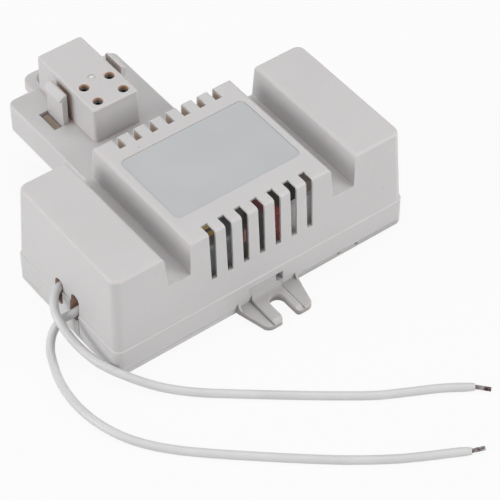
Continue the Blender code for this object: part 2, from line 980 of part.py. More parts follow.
island_plan = prism(
    "island_plan",
    rectangle(*island_half, island_corner, island_middle),
    -1 * mm,
    body_height,
)
boolean(island, island_plan, "INTERSECT")
gusset_outline = [
    (-half_width - gap, lug_thickness / 2),
    (-half_width - gusset_height, lug_thickness / 2),
    (-half_width - gusset_height, lug_thickness),
    (-half_width - gap, lug_thickness + gusset_height),
]
gusset_inset = lug_root_width / 2 - 0.3 * mm
gussets = solid(
    "lug_gussets",
    [
        ([(gusset_outline, x), (gusset_outline, x + gusset_width)], "X", False)
        for x in (lug_centre - gusset_inset, lug_centre + gusset_inset - gusset_width)
    ],
)


def capsule(half_x, half_y, centre, steps=8):
    """A slot outline with round ends, longer along Y."""
    cx, cy = centre
    reach = half_y - half_x
    points = []
    for end in (1, -1):
        for k in range(steps + 1):
            turn = math.pi * k / steps + (0 if end > 0 else math.pi)
            points.append((cx + half_x * math.cos(turn), cy + end * reach + half_x * math.sin(turn)))
    return points


slot_centre = lug_centre + lug_slot_offset
slot_half = lug_slot_width / 2
slot_head = -half_width - lug_slot_setback - slot_half
flare_points = [(slot_half + lug_slot_flare, lug_tip - 1 * mm)]
flare_points += [
    (slot_half + lug_slot_flare - rise, lug_tip + inset) for inset, rise in quarter(lug_slot_flare)
]
head_points = [
    (slot_half * math.cos(math.pi * k / 12), slot_head + slot_half * math.sin(math.pi * k / 12))
    for k in range(13)
]
slot_points = flare_points + head_points + [(-x, y) for x, y in reversed(flare_points)]
fork_slot = prism(
    "fork_slot",
    [(slot_centre + x, y) for x, y in slot_points],
    -1 * mm,
    body_height,
)
groove_shift = island_groove / 2 - 0.1 * mm
groove_middle = lug_tip + lug_reach / 2 - gap
grooves = solid(
    "island_grooves",
    [
        (
            [
                (rectangle(island_groove / 2, lug_reach / 2, 0.1 * mm, (x, groove_middle)), z)
                for z in (lug_thickness - island_groove_depth, island_height)
            ],
            "Z",
            False,
        )
        for x in (island_left - groove_shift, island_right + groove_shift)
    ],
)
mark_levels = (plate_top - 0.8 * mm, plate_top + 1.3 * mm)
edge_marks = solid(
    "edge_marks",
    [
        ([(rectangle(0.6 * mm, 0.5 * mm, 0.1 * mm, (x, -half_width)), z) for z in mark_levels], "Z", False)
        for x in (edge_mark_start, edge_mark_start + edge_mark_pitch)
    ],
)
fuse(plate, rim, posts, tab, latch, wings)
cut(plate, grooves)
fuse(plate, island, gussets)
cut(plate, fork_slot, edge_marks)

# Plate that closes the arm from below, with the rear screw ear
floor_half = (arm_width / 2 - arm_lip - gap, (arm_end - arm_lip - mouth_start) / 2 - gap)
floor_plate = prism(
    "arm_floor",
    rectangle(*floor_half, 1.0 * mm, (arm_centre, (arm_end - arm_lip + mouth_start) / 2)),
    arm_bottom,
    arm_bottom + floor_thickness,
    "Z",
    white_plastic,
)
ear = prism(
    "screw_ear",
    rounded_outline(
        [
            (ear_centre - ear_width / 2, arm_end - cover_wall - 1 * mm, 0),
            (ear_centre + ear_width / 2, arm_end - cover_wall - 1 * mm, 0),
            (ear_centre + ear_width / 2, ear_tip, ear_radius),
            (ear_centre - ear_width / 2, ear_tip, ear_radius),
        ]
    ),
    arm_bottom,
    arm_bottom + ear_thickness,
)
soften(ear, 0.35 * mm, 2, 60)
ear_top = arm_bottom + ear_thickness
ear_slot_centre = (ear_centre, ear_tip - ear_slot_setback)
ear_slot = loft(
    "ear_slot",
    [
        (capsule(ear_slot_width / 2 + grow, ear_slot_length / 2 + grow, ear_slot_centre), z)
        for grow, z in (
            (0, arm_bottom - 1 * mm),
            (0, ear_top - ear_slot_chamfer),
            (ear_slot_chamfer, ear_top),
            (ear_slot_chamfer, ear_top + 1 * mm),
        )
    ],
)
ear_shoulder = block(
    "ear_shoulder",
    (ear_centre - ear_width, arm_end - 4 * mm, ear_top - ear_step),
    (ear_centre + ear_width, arm_end + gap, ear_top + 1 * mm),
)
cut(ear, ear_shoulder)
fuse(floor_plate, ear, *core_pads)
cut(floor_plate, ear_slot)

# Lamp contacts hang in the bores by a collar under the arm's top wall; leads run from them to the board
contact_inner = bore_diameter / 2 - gap - contact_wall
contact_outer = bore_diameter / 2 - gap
contact_top = holder_top - contact_sink
collar_top = arm_ceiling - gap
collar_foot = collar_top - contact_collar_height
lead_top = collar_foot - gap


def tube(name, points, diameter, material, resolution=2):
    line = bpy.data.curves.new(name, "CURVE")
    line.dimensions = "3D"
    line.bevel_depth = diameter / 2
    line.bevel_resolution = resolution
    line.use_fill_caps = True
    spline = line.splines.new("POLY")
    spline.points.add(len(points) - 1)
    for spot, point in zip(spline.points, points):
        spot.co = (*point, 1)
    return place(name, line, material)


for i, (x, y) in enumerate(pin_points):
    ring_solid(
        f"lamp_contact_{i + 1}",
        [
            (contact_inner, collar_foot),
            (contact_outer + contact_collar, collar_foot),
            (contact_outer + contact_collar, collar_top),
            (contact_outer, collar_top),
            (contact_outer, contact_top),
            (contact_inner, contact_top),
        ],
        contact_brass,
        (x, y, 0),
        steps=16,
    )
    step = 0 if y > pin_front + pin_pitch_y / 2 else lead_spacing
    level = lead_top - lead_bend - lead_spacing + step
    column = inner_half(half_width, channel_floor) - 2.2 * mm - step
    bends = [
        (y, lead_top, 0),
        (y, level, lead_bend),
        (column, level, lead_bend),
        (column, seat, 0),
    ]
    path = [(x, b, c) for b, c in rounded_outline(bends, 4)]
    tube(f"contact_lead_{i + 1}", path, lead_diameter, tinned_copper)

board = prism(
    "circuit_board",
    rectangle(*board_half, board_corner),
    board_bottom,
    board_top,
    "Z",
    board_laminate,
)

# Terminal that takes the two supply wires on the board
terminal_left = terminal_setback - half_length
terminal = block(
    "supply_terminal",
    (terminal_left, -terminal_width / 2, seat),
    (terminal_left + terminal_length, terminal_width / 2, seat + terminal_height),
    0.4 * mm,
    terminal_plastic,
)
wire_y = {"rear": 2.9 * mm, "front": -4.0 * mm}
wire_z = {"rear": rear_wire_height, "front": front_wire_height}
for end in ("rear", "front"):
    socket = turned(
        f"{end}_wire_socket",
        [
            (wire_diameter / 2 + gap, terminal_left - 1 * mm),
            (wire_diameter / 2 + gap, terminal_left + terminal_socket),
        ],
        None,
        (0, 0, 0),
        "X",
        16,
    )
    socket.location = (0, wire_y[end], wire_z[end])
    cut(terminal, socket)


def windings(name, half_x, half_y, hole_x, hole_y, start, end, axis, material, location):
    """A wound block with rounded sides round a square hole."""
    inside = rectangle(hole_x, hole_y, 0.4 * mm, steps=3)
    bulge = min(half_x - hole_x, half_y - hole_y) * 0.35
    rings = [(inside, start)]
    for inset, level in ((bulge, start), (bulge * 0.3, start + bulge * 0.5), (0, start + bulge * 1.2)):
        rings.append((rectangle(half_x - inset, half_y - inset, 1.6 * mm, steps=3), level))
    for inset, level in ((0, end - bulge * 1.2), (bulge * 0.3, end - bulge * 0.5), (bulge, end)):
        rings.append((rectangle(half_x - inset, half_y - inset, 1.6 * mm, steps=3), level))
    rings.append((inside, end))
    return solid(name, [(rings, axis, True)], material, location)


def spot(across, deep, lift=0.0):
    """A place on the board, by its shares of the board's half length and half width."""
    return (across * board_half[0], deep * board_half[1], seat + lift)


def block_spot(across, deep, lift=0.0):
    """A place on the board under the centre block, by shares of the block's and the board's half sizes."""
    return (across * channel_inner, deep * board_half[1], seat + lift)


# Ballast choke: two E cores meet in a bobbin whose winding runs round the X axis
core_height = core_rise * headroom
core_leg = core_leg_share * core_height
core_thickness = 2 * core_leg
choke_spot = block_spot(*block_layout["choke"], core_height / 2)
centre_half = core_thickness / 2
bobbin_hole = centre_half + gap
bobbin_tube = bobbin_hole + bobbin_wall
window_half = core_height / 2 - core_leg
flange_half = window_half - gap
winding_half = flange_half - 0.4 * mm
core_span = core_length / 2
for side, end in ((-1, "left"), (1, "right")):
    near = gap / 2
    web = core_span - core_leg
    outline = [
        (near, -core_height / 2),
        (core_span, -core_height / 2),
        (core_span, core_height / 2),
        (near, core_height / 2),
        (near, window_half),
        (web, window_half),
        (web, centre_half),
        (near, centre_half),
        (near, -centre_half),
        (web, -centre_half),
        (web, -window_half),
        (near, -window_half),
    ]
    prism(
        f"choke_core_{end}",
        [(side * x, z) for x, z in outline],
        -core_thickness / 2,
        core_thickness / 2,
        "Y",
        ferrite,
        choke_spot,
    )
bobbin_half = core_span - core_leg - gap
flange = bobbin_flange
flange_y = flange_half + 1.6 * mm
tube_ring = rectangle(bobbin_tube, bobbin_tube, 0.4 * mm, steps=2)
hole_ring = rectangle(bobbin_hole, bobbin_hole, 0.2 * mm, steps=2)
flange_ring = rectangle(flange_y, flange_half, 0.8 * mm, steps=2)
solid(
    "choke_bobbin",
    [
        (
            [
                (hole_ring, -bobbin_half),
                (flange_ring, -bobbin_half),
                (flange_ring, flange - bobbin_half),
                (tube_ring, flange - bobbin_half),
                (tube_ring, bobbin_half - flange),
                (flange_ring, bobbin_half - flange),
                (flange_ring, bobbin_half),
                (hole_ring, bobbin_half),
            ],
            "X",
            True,
        )
    ],
    bobbin_plastic,
    choke_spot,
)
windings(
    "choke_winding",
    winding_half + 1.6 * mm,
    winding_half,
    bobbin_tube + gap,
    bobbin_tube + gap,
    flange + gap - bobbin_half,
    bobbin_half - flange - gap,
    "X",
    yellow_tape,
    choke_spot,
)

# Line filter choke on a spool core
filter_spot = spot(*layout["filter"])
turned(
    "filter_spool",
    [
        (spool_radius, 0),
        (spool_radius, spool_flange),
        (spool_neck, spool_flange),
        (spool_neck, spool_height - spool_flange),
        (spool_radius, spool_height - spool_flange),
        (spool_radius, spool_height),
    ],
    ferrite,
    filter_spot,
)
ring_solid(
    "filter_winding",
    [
        (spool_neck + gap, spool_flange + gap),
        (spool_radius - 0.4 * mm, spool_flange + gap),
        (spool_radius - 0.4 * mm, spool_height - spool_flange - gap),
        (spool_neck + gap, spool_height - spool_flange - gap),
    ],
    copper_wire,
    filter_spot,
)

# Drive ring core, lying on the board
ring_solid(
    "drive_ring",
    [
        (ring_hole, 0),
        (ring_radius - 0.5 * mm, 0),
        (ring_radius, 0.5 * mm),
        (ring_radius, ring_height - 0.5 * mm),
        (ring_radius - 0.5 * mm, ring_height),
        (ring_hole, ring_height),
    ],
    ferrite,
    spot(*layout["drive_ring"]),
)

# Reservoir capacitor, upright
reservoir_height = reservoir_rise * headroom
reservoir_radius = reservoir_share * board_half[1]
turned(
    "reservoir_capacitor",
    [
        (reservoir_radius - 0.6 * mm, 0),
        (reservoir_radius, 0.5 * mm),
        (reservoir_radius, 1.6 * mm),
        (reservoir_radius - 0.5 * mm, 2.2 * mm),
        (reservoir_radius, 2.8 * mm),
        (reservoir_radius, reservoir_height - 0.5 * mm),
        (reservoir_radius - 0.5 * mm, reservoir_height),
    ],
    black_sleeve,
    block_spot(*block_layout["reservoir"]),
)


def boxed(name, size, location, material, edge=0.8 * mm):
    length, width, height = size
    edge = min(edge, 0.2 * length, 0.2 * width)
    rings = edged_rings(length / 2, width / 2, edge, (0, 0), 0, height, edge)
    return loft(name, rings, material, location)


boxed("film_capacitor_front", film_size, block_spot(*block_layout["film_front"]), red_epoxy, 1.2 * mm)
boxed("film_capacitor_side", film_size, block_spot(*block_layout["film_side"]), red_epoxy, 1.2 * mm)
heat_sink = block(
    "heat_sink",
    (-sink_length / 2, -sink_thickness / 2, 0),
    (sink_length / 2, sink_thickness / 2, sink_rise * headroom),
    0.2 * mm,
    aluminium,
)
heat_sink.location = block_spot(*block_layout["heat_sink"])
disc = turned(
    "disc_capacitor",
    [
        (disc_radius - 0.5 * mm, -disc_thickness / 2),
        (disc_radius, -disc_thickness / 2 + 0.4 * mm),
        (disc_radius, disc_thickness / 2 - 0.4 * mm),
        (disc_radius - 0.5 * mm, disc_thickness / 2),
    ],
    red_epoxy,
    block_spot(*block_layout["disc_capacitor"], disc_radius + 2.2 * mm),
    "X",
    16,
)
disc_legs = solid(
    "disc_legs",
    [
        (
            [
                (rectangle(0.3 * mm, 0.3 * mm, 0.05 * mm, (0, side * 1.8 * mm), 1), z)
                for z in (-disc_radius - 2.2 * mm, -1 * mm)
            ],
            "Z",
            False,
        )
        for side in (-1, 1)
    ],
    None,
    block_spot(*block_layout["disc_capacitor"], disc_radius + 2.2 * mm),
)
fuse(disc, disc_legs)
line_cap_width = board_half[1] - terminal_width / 2 - line_cap_clearance - line_cap_margin
line_cap_size = (line_cap_length, line_cap_width, line_cap_height)
line_cap_spot = (
    terminal_left + terminal_length / 2 + line_cap_shift,
    -terminal_width / 2 - line_cap_clearance - line_cap_width / 2,
    seat,
)
boxed("line_capacitor", line_cap_size, line_cap_spot, tan_case, 0.6 * mm)
boxed("snubber_capacitor", snubber_size, block_spot(*block_layout["snubber"]), tan_case, 0.9 * mm)

# Rectifier diodes and resistors lie above the board between the end blocks
for i in range(4):
    turned(
        f"rectifier_diode_{i + 1}",
        [
            (diode_lead, -diode_length / 2 - 2.4 * mm),
            (diode_lead, -diode_length / 2),
            (diode_radius, -diode_length / 2),
            (diode_radius, diode_length / 2),
            (diode_lead, diode_length / 2),
            (diode_lead, diode_length / 2 + 2.4 * mm),
        ],
        diode_black,
        spot(layout["diodes"][0], layout["diodes"][1] + (i - 1.5) * diode_pitch, diode_radius),
        "X",
        12,
    )
for i in range(3):
    turned(
        f"resistor_{i + 1}",
        [
            (diode_lead, -resistor_length / 2 - 2.2 * mm),
            (diode_lead, -resistor_length / 2),
            (resistor_radius, -resistor_length / 2),
            (resistor_radius, -resistor_length / 2 + 1.2 * mm),
            (resistor_radius * 0.85, -resistor_length / 2 + 1.8 * mm),
            (resistor_radius * 0.85, resistor_length / 2 - 1.8 * mm),
            (resistor_radius, resistor_length / 2 - 1.2 * mm),
            (resistor_radius, resistor_length / 2),
            (diode_lead, resistor_length / 2),
            (diode_lead, resistor_length / 2 + 2.2 * mm),
        ],
        resistor_body,
        spot(layout["resistors"][0], layout["resistors"][1] + (i - 1) * resistor_pitch, resistor_radius),
        "X",
        12,
    )
turned(
    "line_fuse",
    [
        (fuse_radius * 0.8, -fuse_length / 2),
        (fuse_radius, -fuse_length / 2 + 0.3 * mm),
        (fuse_radius, -fuse_length / 2 + 2 * mm),
        (fuse_radius * 0.9, -fuse_length / 2 + 2.1 * mm),
        (fuse_radius * 0.9, fuse_length / 2 - 2.1 * mm),
        (fuse_radius, fuse_length / 2 - 2 * mm),
        (fuse_radius, fuse_length / 2 - 0.3 * mm),
        (fuse_radius * 0.8, fuse_length / 2),
    ],
    fuse_ceramic,
    spot(*layout["fuse"], fuse_radius),
    "Y",
    14,
)

# Power transistors stand near the right end, each with a mounting hole and three legs
for i, side in enumerate((-1, 1)):
    x, y, foot = spot(layout["transistors"][0], side * layout["transistors"][1], transistor_leg)
    leg_levels = (-transistor_leg, 1 * mm)
    case = prism(
        f"power_transistor_{i + 1}",
        rectangle(transistor_width / 2, transistor_case / 2, 0.5 * mm, (0, transistor_case / 2), 2),
        -transistor_thickness / 2,
        transistor_thickness / 2,
        "X",
        diode_black,
        (x, y, foot),
    )
    legs = solid(
        "transistor_legs",
        [
            (
                [(rectangle(0.3 * mm, 0.4 * mm, 0.05 * mm, (0, k * 2.3 * mm), 1), z) for z in leg_levels],
                "Z",
                False,
            )
            for k in (-1, 0, 1)
        ],
        None,
        (x, y, foot),
    )
    eye = turned(
        "transistor_eye",
        [(1.6 * mm, -5 * mm), (1.6 * mm, 5 * mm)],
        None,
        (x, y, foot + transistor_case - 3.6 * mm),
        "X",
        16,
    )
    fuse(case, legs)
    cut(case, eye)


def smooth_route(points, spacing):
    """Points at even spacing along a centripetal spline through the route's own points."""
    route = [Vector(p) * mm for p in points]
    route = [route[0] * 2 - route[1]] + route + [route[-1] * 2 - route[-2]]
    dense = []
    for a, b, c, d in zip(route, route[1:], route[2:], route[3:]):
        knots = [0.0]
        for p, q in ((a, b), (b, c), (c, d)):
            knots.append(knots[-1] + math.sqrt((q - p).length))
        for k in range(40):
            t = knots[1] + (knots[2] - knots[1]) * k / 40
            ab = a.lerp(b, (t - knots[0]) / (knots[1] - knots[0]))
            bc = b.lerp(c, (t - knots[1]) / (knots[2] - knots[1]))
            cd = c.lerp(d, (t - knots[2]) / (knots[3] - knots[2]))
            abc = ab.lerp(bc, (t - knots[0]) / (knots[2] - knots[0]))
            bcd = bc.lerp(cd, (t - knots[1]) / (knots[3] - knots[1]))
            dense.append(abc.lerp(bcd, (t - knots[1]) / (knots[2] - knots[1])))
    dense.append(route[-2])
    lengths = [0.0]
    for p, q in zip(dense, dense[1:]):
        lengths.append(lengths[-1] + (q - p).length)
    count = max(2, round(lengths[-1] / spacing))
    spots = []
    i = 0
    for k in range(count + 1):
        target = lengths[-1] * k / count
        while i < len(dense) - 2 and lengths[i + 1] < target:
            i += 1
        share = (target - lengths[i]) / (lengths[i + 1] - lengths[i])
        spots.append(dense[i].lerp(dense[i + 1], share))
    return spots


for end, route in wire_routes.items():
    line = smooth_route(route, wire_diameter * 2)
    tube(f"supply_wire_{end}", line, wire_diameter, wire_sleeve)
    aim = (line[-1] - line[-2]).normalized()
    start = line[-1] + aim * gap
    stop = start + aim * strand_length[end]
    tube(f"wire_end_{end}", [start, start.lerp(stop, 0.5), stop], strand_diameter, tinned_copper)
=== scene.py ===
import math

import bmesh
import bpy
from mathutils import Matrix, Vector


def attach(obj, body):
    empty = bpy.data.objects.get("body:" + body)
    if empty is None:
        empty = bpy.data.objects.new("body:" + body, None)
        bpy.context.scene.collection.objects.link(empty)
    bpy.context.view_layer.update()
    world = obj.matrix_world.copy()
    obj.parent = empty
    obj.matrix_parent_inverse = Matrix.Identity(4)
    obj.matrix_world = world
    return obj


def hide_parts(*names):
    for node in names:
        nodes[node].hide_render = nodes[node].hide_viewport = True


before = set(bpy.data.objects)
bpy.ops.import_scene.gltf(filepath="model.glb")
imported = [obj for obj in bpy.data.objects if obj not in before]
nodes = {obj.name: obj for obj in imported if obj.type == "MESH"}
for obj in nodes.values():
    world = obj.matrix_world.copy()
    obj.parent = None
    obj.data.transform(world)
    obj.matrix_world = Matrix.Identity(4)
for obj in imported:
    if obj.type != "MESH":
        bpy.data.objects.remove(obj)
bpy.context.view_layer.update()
print("frame loaded,", len(nodes), "nodes")

mm = 0.001
boxMiddle = Vector((0, -18.7, 0)) * mm  # where the wires' routes have their zero


def linked(name, data):  # a new object in the scene
    made = bpy.data.objects.new(name, data)
    bpy.context.scene.collection.objects.link(made)
    return made


def aimed(spot, direction, axis):  # stands at a spot, with one axis along a direction
    return Matrix.Translation(spot) @ direction.to_track_quat(axis, "Y").to_matrix().to_4x4()


def evaluated(piece):  # the mesh of an object with its modifiers applied
    bpy.context.view_layer.update()
    graph = bpy.context.evaluated_depsgraph_get()
    return bpy.data.meshes.new_from_object(piece.evaluated_get(graph))


# Camera, solved from the straight edges of the box in the photograph
view = {
    "azimuth": -36.742,
    "elevation": 46.338,
    "roll": -0.223,
    "frame": 500,  # pixels
    "focal": 2387.94,  # in those pixels
    "eye": (-0.25015, -0.36999, 0.45063),
    "sensor": 36,
    "reach": 20,  # metres
}


def makeCamera(settings):
    turn, tilt, roll = (math.radians(settings[k]) for k in ("azimuth", "elevation", "roll"))
    level = math.cos(tilt)
    back = Vector((math.sin(turn) * level, -math.cos(turn) * level, math.sin(tilt)))
    right = Vector((math.cos(turn), math.sin(turn), 0))
    up = back.cross(right)
    across = right * math.cos(roll) + up * math.sin(roll)
    upright = up * math.cos(roll) - right * math.sin(roll)
    lens = bpy.data.cameras.new("viewpoint")
    lens.sensor_width = settings["sensor"]
    lens.lens = settings["focal"] / settings["frame"] * settings["sensor"]
    lens.clip_end = settings["reach"]
    camera = linked("viewpoint", lens)
    axes = Matrix((across, upright, back)).transposed()
    camera.matrix_world = Matrix.Translation(settings["eye"]) @ axes.to_4x4()
    bpy.context.scene.camera = camera


makeCamera(view)
print("camera placed")


# Shader maths: a socket that takes part in Python expressions
class Socket:
    def __init__(self, recipe, socket):
        self.recipe = recipe
        self.socket = socket

    def maths(self, operation, *values):
        return self.recipe.node("ShaderNodeMath", {"operation": operation}, *values)

    def __add__(self, other):
        return self.maths("ADD", self, other)

    def __sub__(self, other):
        return self.maths("SUBTRACT", self, other)

    def __mul__(self, other):
        return self.maths("MULTIPLY", self, other)

    def __rmul__(self, other):
        return self.maths("MULTIPLY", other, self)

    def __abs__(self):
        return self.maths("ABSOLUTE", self)

    def sine(self):
        return self.maths("SINE", self)

    def root(self):
        return self.maths("SQRT", self)

    def most(self, other):
        return self.maths("MAXIMUM", self, other)

    def above(self, level, soft):  # 1 above a level, softly
        return self.ramped(level - soft, level + soft)

    def below(self, level, soft):
        return self.ramped(level - soft, level + soft, 1.0, 0.0)

    def ramped(self, low, high, bottom=0.0, top=1.0):
        limits = (low, high, bottom, top)
        return self.recipe.node("ShaderNodeMapRange", {"clamp": True}, self, *limits)


class Recipe:  # one material and the method that makes its nodes
    def __init__(self, name):
        self.material = bpy.data.materials.new(name)
        self.material.use_nodes = True
        self.tree = self.material.node_tree
        self.tree.nodes.clear()
        self.output = self.tree.nodes.new("ShaderNodeOutputMaterial")
        self.place = self.node("ShaderNodeTexCoord", {"out": "Object"})

    def node(self, kind, settings, *values, **named):
        settings = dict(settings)
        out = settings.pop("out", 0)
        made = self.tree.nodes.new(kind)
        for key, value in settings.items():
            setattr(made, key, value)
        live = [s for s in made.inputs if s.enabled]
        pairs = list(zip(live, values))
        for label, value in named.items():
            pairs.append((made.inputs[label.replace("_", " ")], value))
        for socket, value in pairs:
            if isinstance(value, Socket):
                self.tree.links.new(value.socket, socket)
            else:
                socket.default_value = value
        outs = [s for s in made.outputs if s.enabled]
        return Socket(self, made.outputs[out] if isinstance(out, str) else outs[out])

    def axis(self, letter):
        return self.node("ShaderNodeSeparateXYZ", {"out": letter}, self.place)

    def over(self, letter, level, soft=0.1):  # 1 past a level along an axis, in mm
        return self.axis(letter).above(level * mm, soft * mm)

    def under(self, letter, level, soft=0.1):
        return self.axis(letter).below(level * mm, soft * mm)

    def near(self, letter, middle, half, soft):  # 1 in a band across an axis, in mm
        return abs(self.axis(letter) - middle * mm).below(half * mm, soft * mm)

    def stretched(self, scale):
        return self.node("ShaderNodeMapping", {}, Vector=self.place, Scale=scale)

    def noise(self, scale, detail=2.0, roughness=0.5, along=None):
        sizes = {"Scale": scale, "Detail": detail, "Roughness": roughness}
        return self.node("ShaderNodeTexNoise", {}, Vector=along or self.place, **sizes)

    def patches(self, scale, detail=2.0, roughness=0.5):  # soft light and dark patches
        return self.noise(scale, detail, roughness).ramped(0.3, 0.7)

    def sheen(self, scale, low, high):  # roughness that drifts between two values
        return self.noise(scale).ramped(0.2, 0.8, low, high)

    def mix(self, share, one, other):
        return self.node("ShaderNodeMix", {"data_type": "RGBA"}, share, one, other)

    def bump(self, height, strength, distance):
        sizes = {"Strength": strength, "Distance": distance}
        return self.node("ShaderNodeBump", {}, Height=height, **sizes)

    def finish(self, **sockets):
        shader = self.node("ShaderNodeBsdfPrincipled", {}, **sockets)
        self.tree.links.new(shader.socket, self.output.inputs["Surface"])
        return self.material


def linear(level):
    share = level / 255
    return ((share + 0.055) / 1.055) ** 2.4 if level > 10 else share / 12.92


def rgb(red, green, blue):  # a colour picked in display values
    return (linear(red), linear(green), linear(blue), 1)


# Supply wires along the floor, on the solids' route points, in mm from the box's middle;
# "strand" is the bare end's length in metres and "bend" its turn in degrees
wires = {
    "rear": {
        "strand": 0.0037,
        "bend": -15,
        "route": [
            (-39.7, 2.9, 11.3),
            (-42.6, 2.85, 11.75),
            (-45.4, 2.7, 12.15),
            (-47.4, 1.75, 11.8),
            (-48.9, 0.1, 10.9),
            (-50.05, -2.1, 9.75),
            (-50.45, -4.8, 8.65),
            (-50.4, -8.0, 7.2),
            (-49.9, -11.9, 5.7),
            (-48.7, -17.4, 4.5),
            (-46.85, -22.1, 3.95),
            (-44.7, -25.6, 3.3),
            (-42.0, -29.4, 2.55),
            (-38.4, -33.7, 1.95),
            (-33.0, -38.8, 1.45),
            (-27.0, -43.6, 1.2),
            (-13.8, -54.2, 1.2),
            (-5.85, -60.4, 1.2),
            (1.9, -66.0, 1.2),
            (8.7, -69.8, 1.2),
            (15.7, -73.6, 1.2),
            (22.7, -78.3, 1.2),
        ],
    },
    "front": {
        "strand": 0.0031,
        "bend": 9,
        "route": [
            (-39.7, -4.0, 8.7),
            (-42.6, -4.0, 8.7),
            (-45.6, -3.95, 8.35),
            (-49.1, -2.6, 6.4),
            (-52.05, -3.05, 3.75),
            (-54.5, -5.7, 1.75),
            (-56.5, -10.4, 1.2),
            (-58.1, -15.5, 1.2),
            (-58.95, -21.6, 1.2),
            (-58.75, -27.9, 1.2),
            (-57.6, -33.6, 1.2),
            (-55.4, -39.5, 1.2),
            (-52.1, -44.9, 1.2),
            (-47.95, -49.9, 1.2),
            (-42.6, -55.2, 1.2),
            (-32.85, -63.9, 1.2),
            (-25.9, -69.9, 1.2),
            (-17.0, -77.2, 1.2),
            (-7.75, -83.8, 1.2),
            (-1.15, -87.7, 1.2),
            (5.75, -91.4, 1.2),
            (8.85, -93.2, 1.2),
        ],
    },
}
wireDiameter = 0.0023
pieceGap = 0.0003  # what the solids keep between sleeve and strands
sleeve = {"spacing": 1 * mm, "facets": 6, "taper": (0.97, 0.92, 0.8)}  # narrows at its end


def smoothRoute(points, spacing, steps=40):  # a smooth curve cut into even lengths
    route = [Vector(p) * mm + boxMiddle for p in points]
    route = [route[0] * 2 - route[1]] + route + [route[-1] * 2 - route[-2]]
    dense = []
    for a, b, c, d in zip(route, route[1:], route[2:], route[3:]):
        knots = [0.0]
        for p, q in ((a, b), (b, c), (c, d)):
            knots.append(knots[-1] + math.sqrt((q - p).length))
        for k in range(steps):
            t = knots[1] + (knots[2] - knots[1]) * k / steps
            ab = a.lerp(b, (t - knots[0]) / (knots[1] - knots[0]))
            bc = b.lerp(c, (t - knots[1]) / (knots[2] - knots[1]))
            cd = c.lerp(d, (t - knots[2]) / (knots[3] - knots[2]))
            abc = ab.lerp(bc, (t - knots[0]) / (knots[2] - knots[0]))
            bcd = bc.lerp(cd, (t - knots[1]) / (knots[3] - knots[1]))
            dense.append(abc.lerp(bcd, (t - knots[1]) / (knots[2] - knots[1])))
    dense.append(route[-2])
    lengths = [0.0]
    for p, q in zip(dense, dense[1:]):
        lengths.append(lengths[-1] + (q - p).length)
    count = max(2, round(lengths[-1] / spacing))
    spots = []
    i = 0
    for k in range(count + 1):
        target = lengths[-1] * k / count
        while i < len(dense) - 2 and lengths[i + 1] < target:
            i += 1
        share = (target - lengths[i]) / (lengths[i + 1] - lengths[i])
        spots.append(dense[i].lerp(dense[i + 1], share))
    return spots


def sleeveMaterial():
    recipe = Recipe("wireSleeve")
    cloud = recipe.patches(120)
    return recipe.finish(
        Base_Color=recipe.mix(cloud, rgb(208, 208, 208), rgb(215, 215, 215)),
        Roughness=recipe.sheen(700, 0.33, 0.45),
        Normal=recipe.bump(recipe.noise(2600, 2), 0.2, 0.02 * mm),
    )


def tinnedMaterial():
    recipe = Recipe("tinnedStrands")
    patch = recipe.noise(900, 2).ramped(0.35, 0.65)
    return recipe.finish(
        Base_Color=recipe.mix(patch, rgb(92, 78, 76), rgb(186, 180, 180)),
        Metallic=1.0,
        Roughness=recipe.sheen(1500, 0.3, 0.5),
    )


wireSleeve = sleeveMaterial()
tinnedStrands = tinnedMaterial()
strandBundle = {
    "count": 7,
    "turns": 1.15,
    "bundle": 0.00041,  # radius, in metres
    "strand": 0.00017,
    "points": 24,
    "sides": 8,
}


class Tree:  # a geometry node tree with named inputs
    def __init__(self, name, inputs):
        self.group = bpy.data.node_groups.new(name, "GeometryNodeTree")
        face = self.group.interface
        face.new_socket(name="Geometry", in_out="OUTPUT", socket_type="NodeSocketGeometry")
        self.sockets = {}
        for label, kind in inputs.items():
            made = face.new_socket(name=label, in_out="INPUT", socket_type="NodeSocket" + kind)
            self.sockets[label] = made.identifier
        self.given = self.group.nodes.new("NodeGroupInput").outputs

    def add(self, kind, settings=None, **inputs):
        made = self.group.nodes.new(kind)
        for key, value in (settings or {}).items():
            setattr(made, key, value)
        for key, value in inputs.items():
            self.fill(made.inputs[key.replace("_", " ")], value)
        return made

    def calc(self, operation, *values):
        made = self.add("ShaderNodeMath", {"operation": operation})
        for socket, value in zip(made.inputs, values):
            self.fill(socket, value)
        return made.outputs[0]

    def fill(self, socket, value):
        if isinstance(value, bpy.types.NodeSocket):
            self.group.links.new(value, socket)
        else:
            socket.default_value = value

    def finish(self, geometry):
        real = self.add("GeometryNodeRealizeInstances", Geometry=geometry).outputs[0]
        paint = self.given["Material"]
        painted = self.add("GeometryNodeSetMaterial", Geometry=real, Material=paint)
        result = self.group.nodes.new("NodeGroupOutput")
        self.group.links.new(painted.outputs[0], result.inputs[0])
        return self


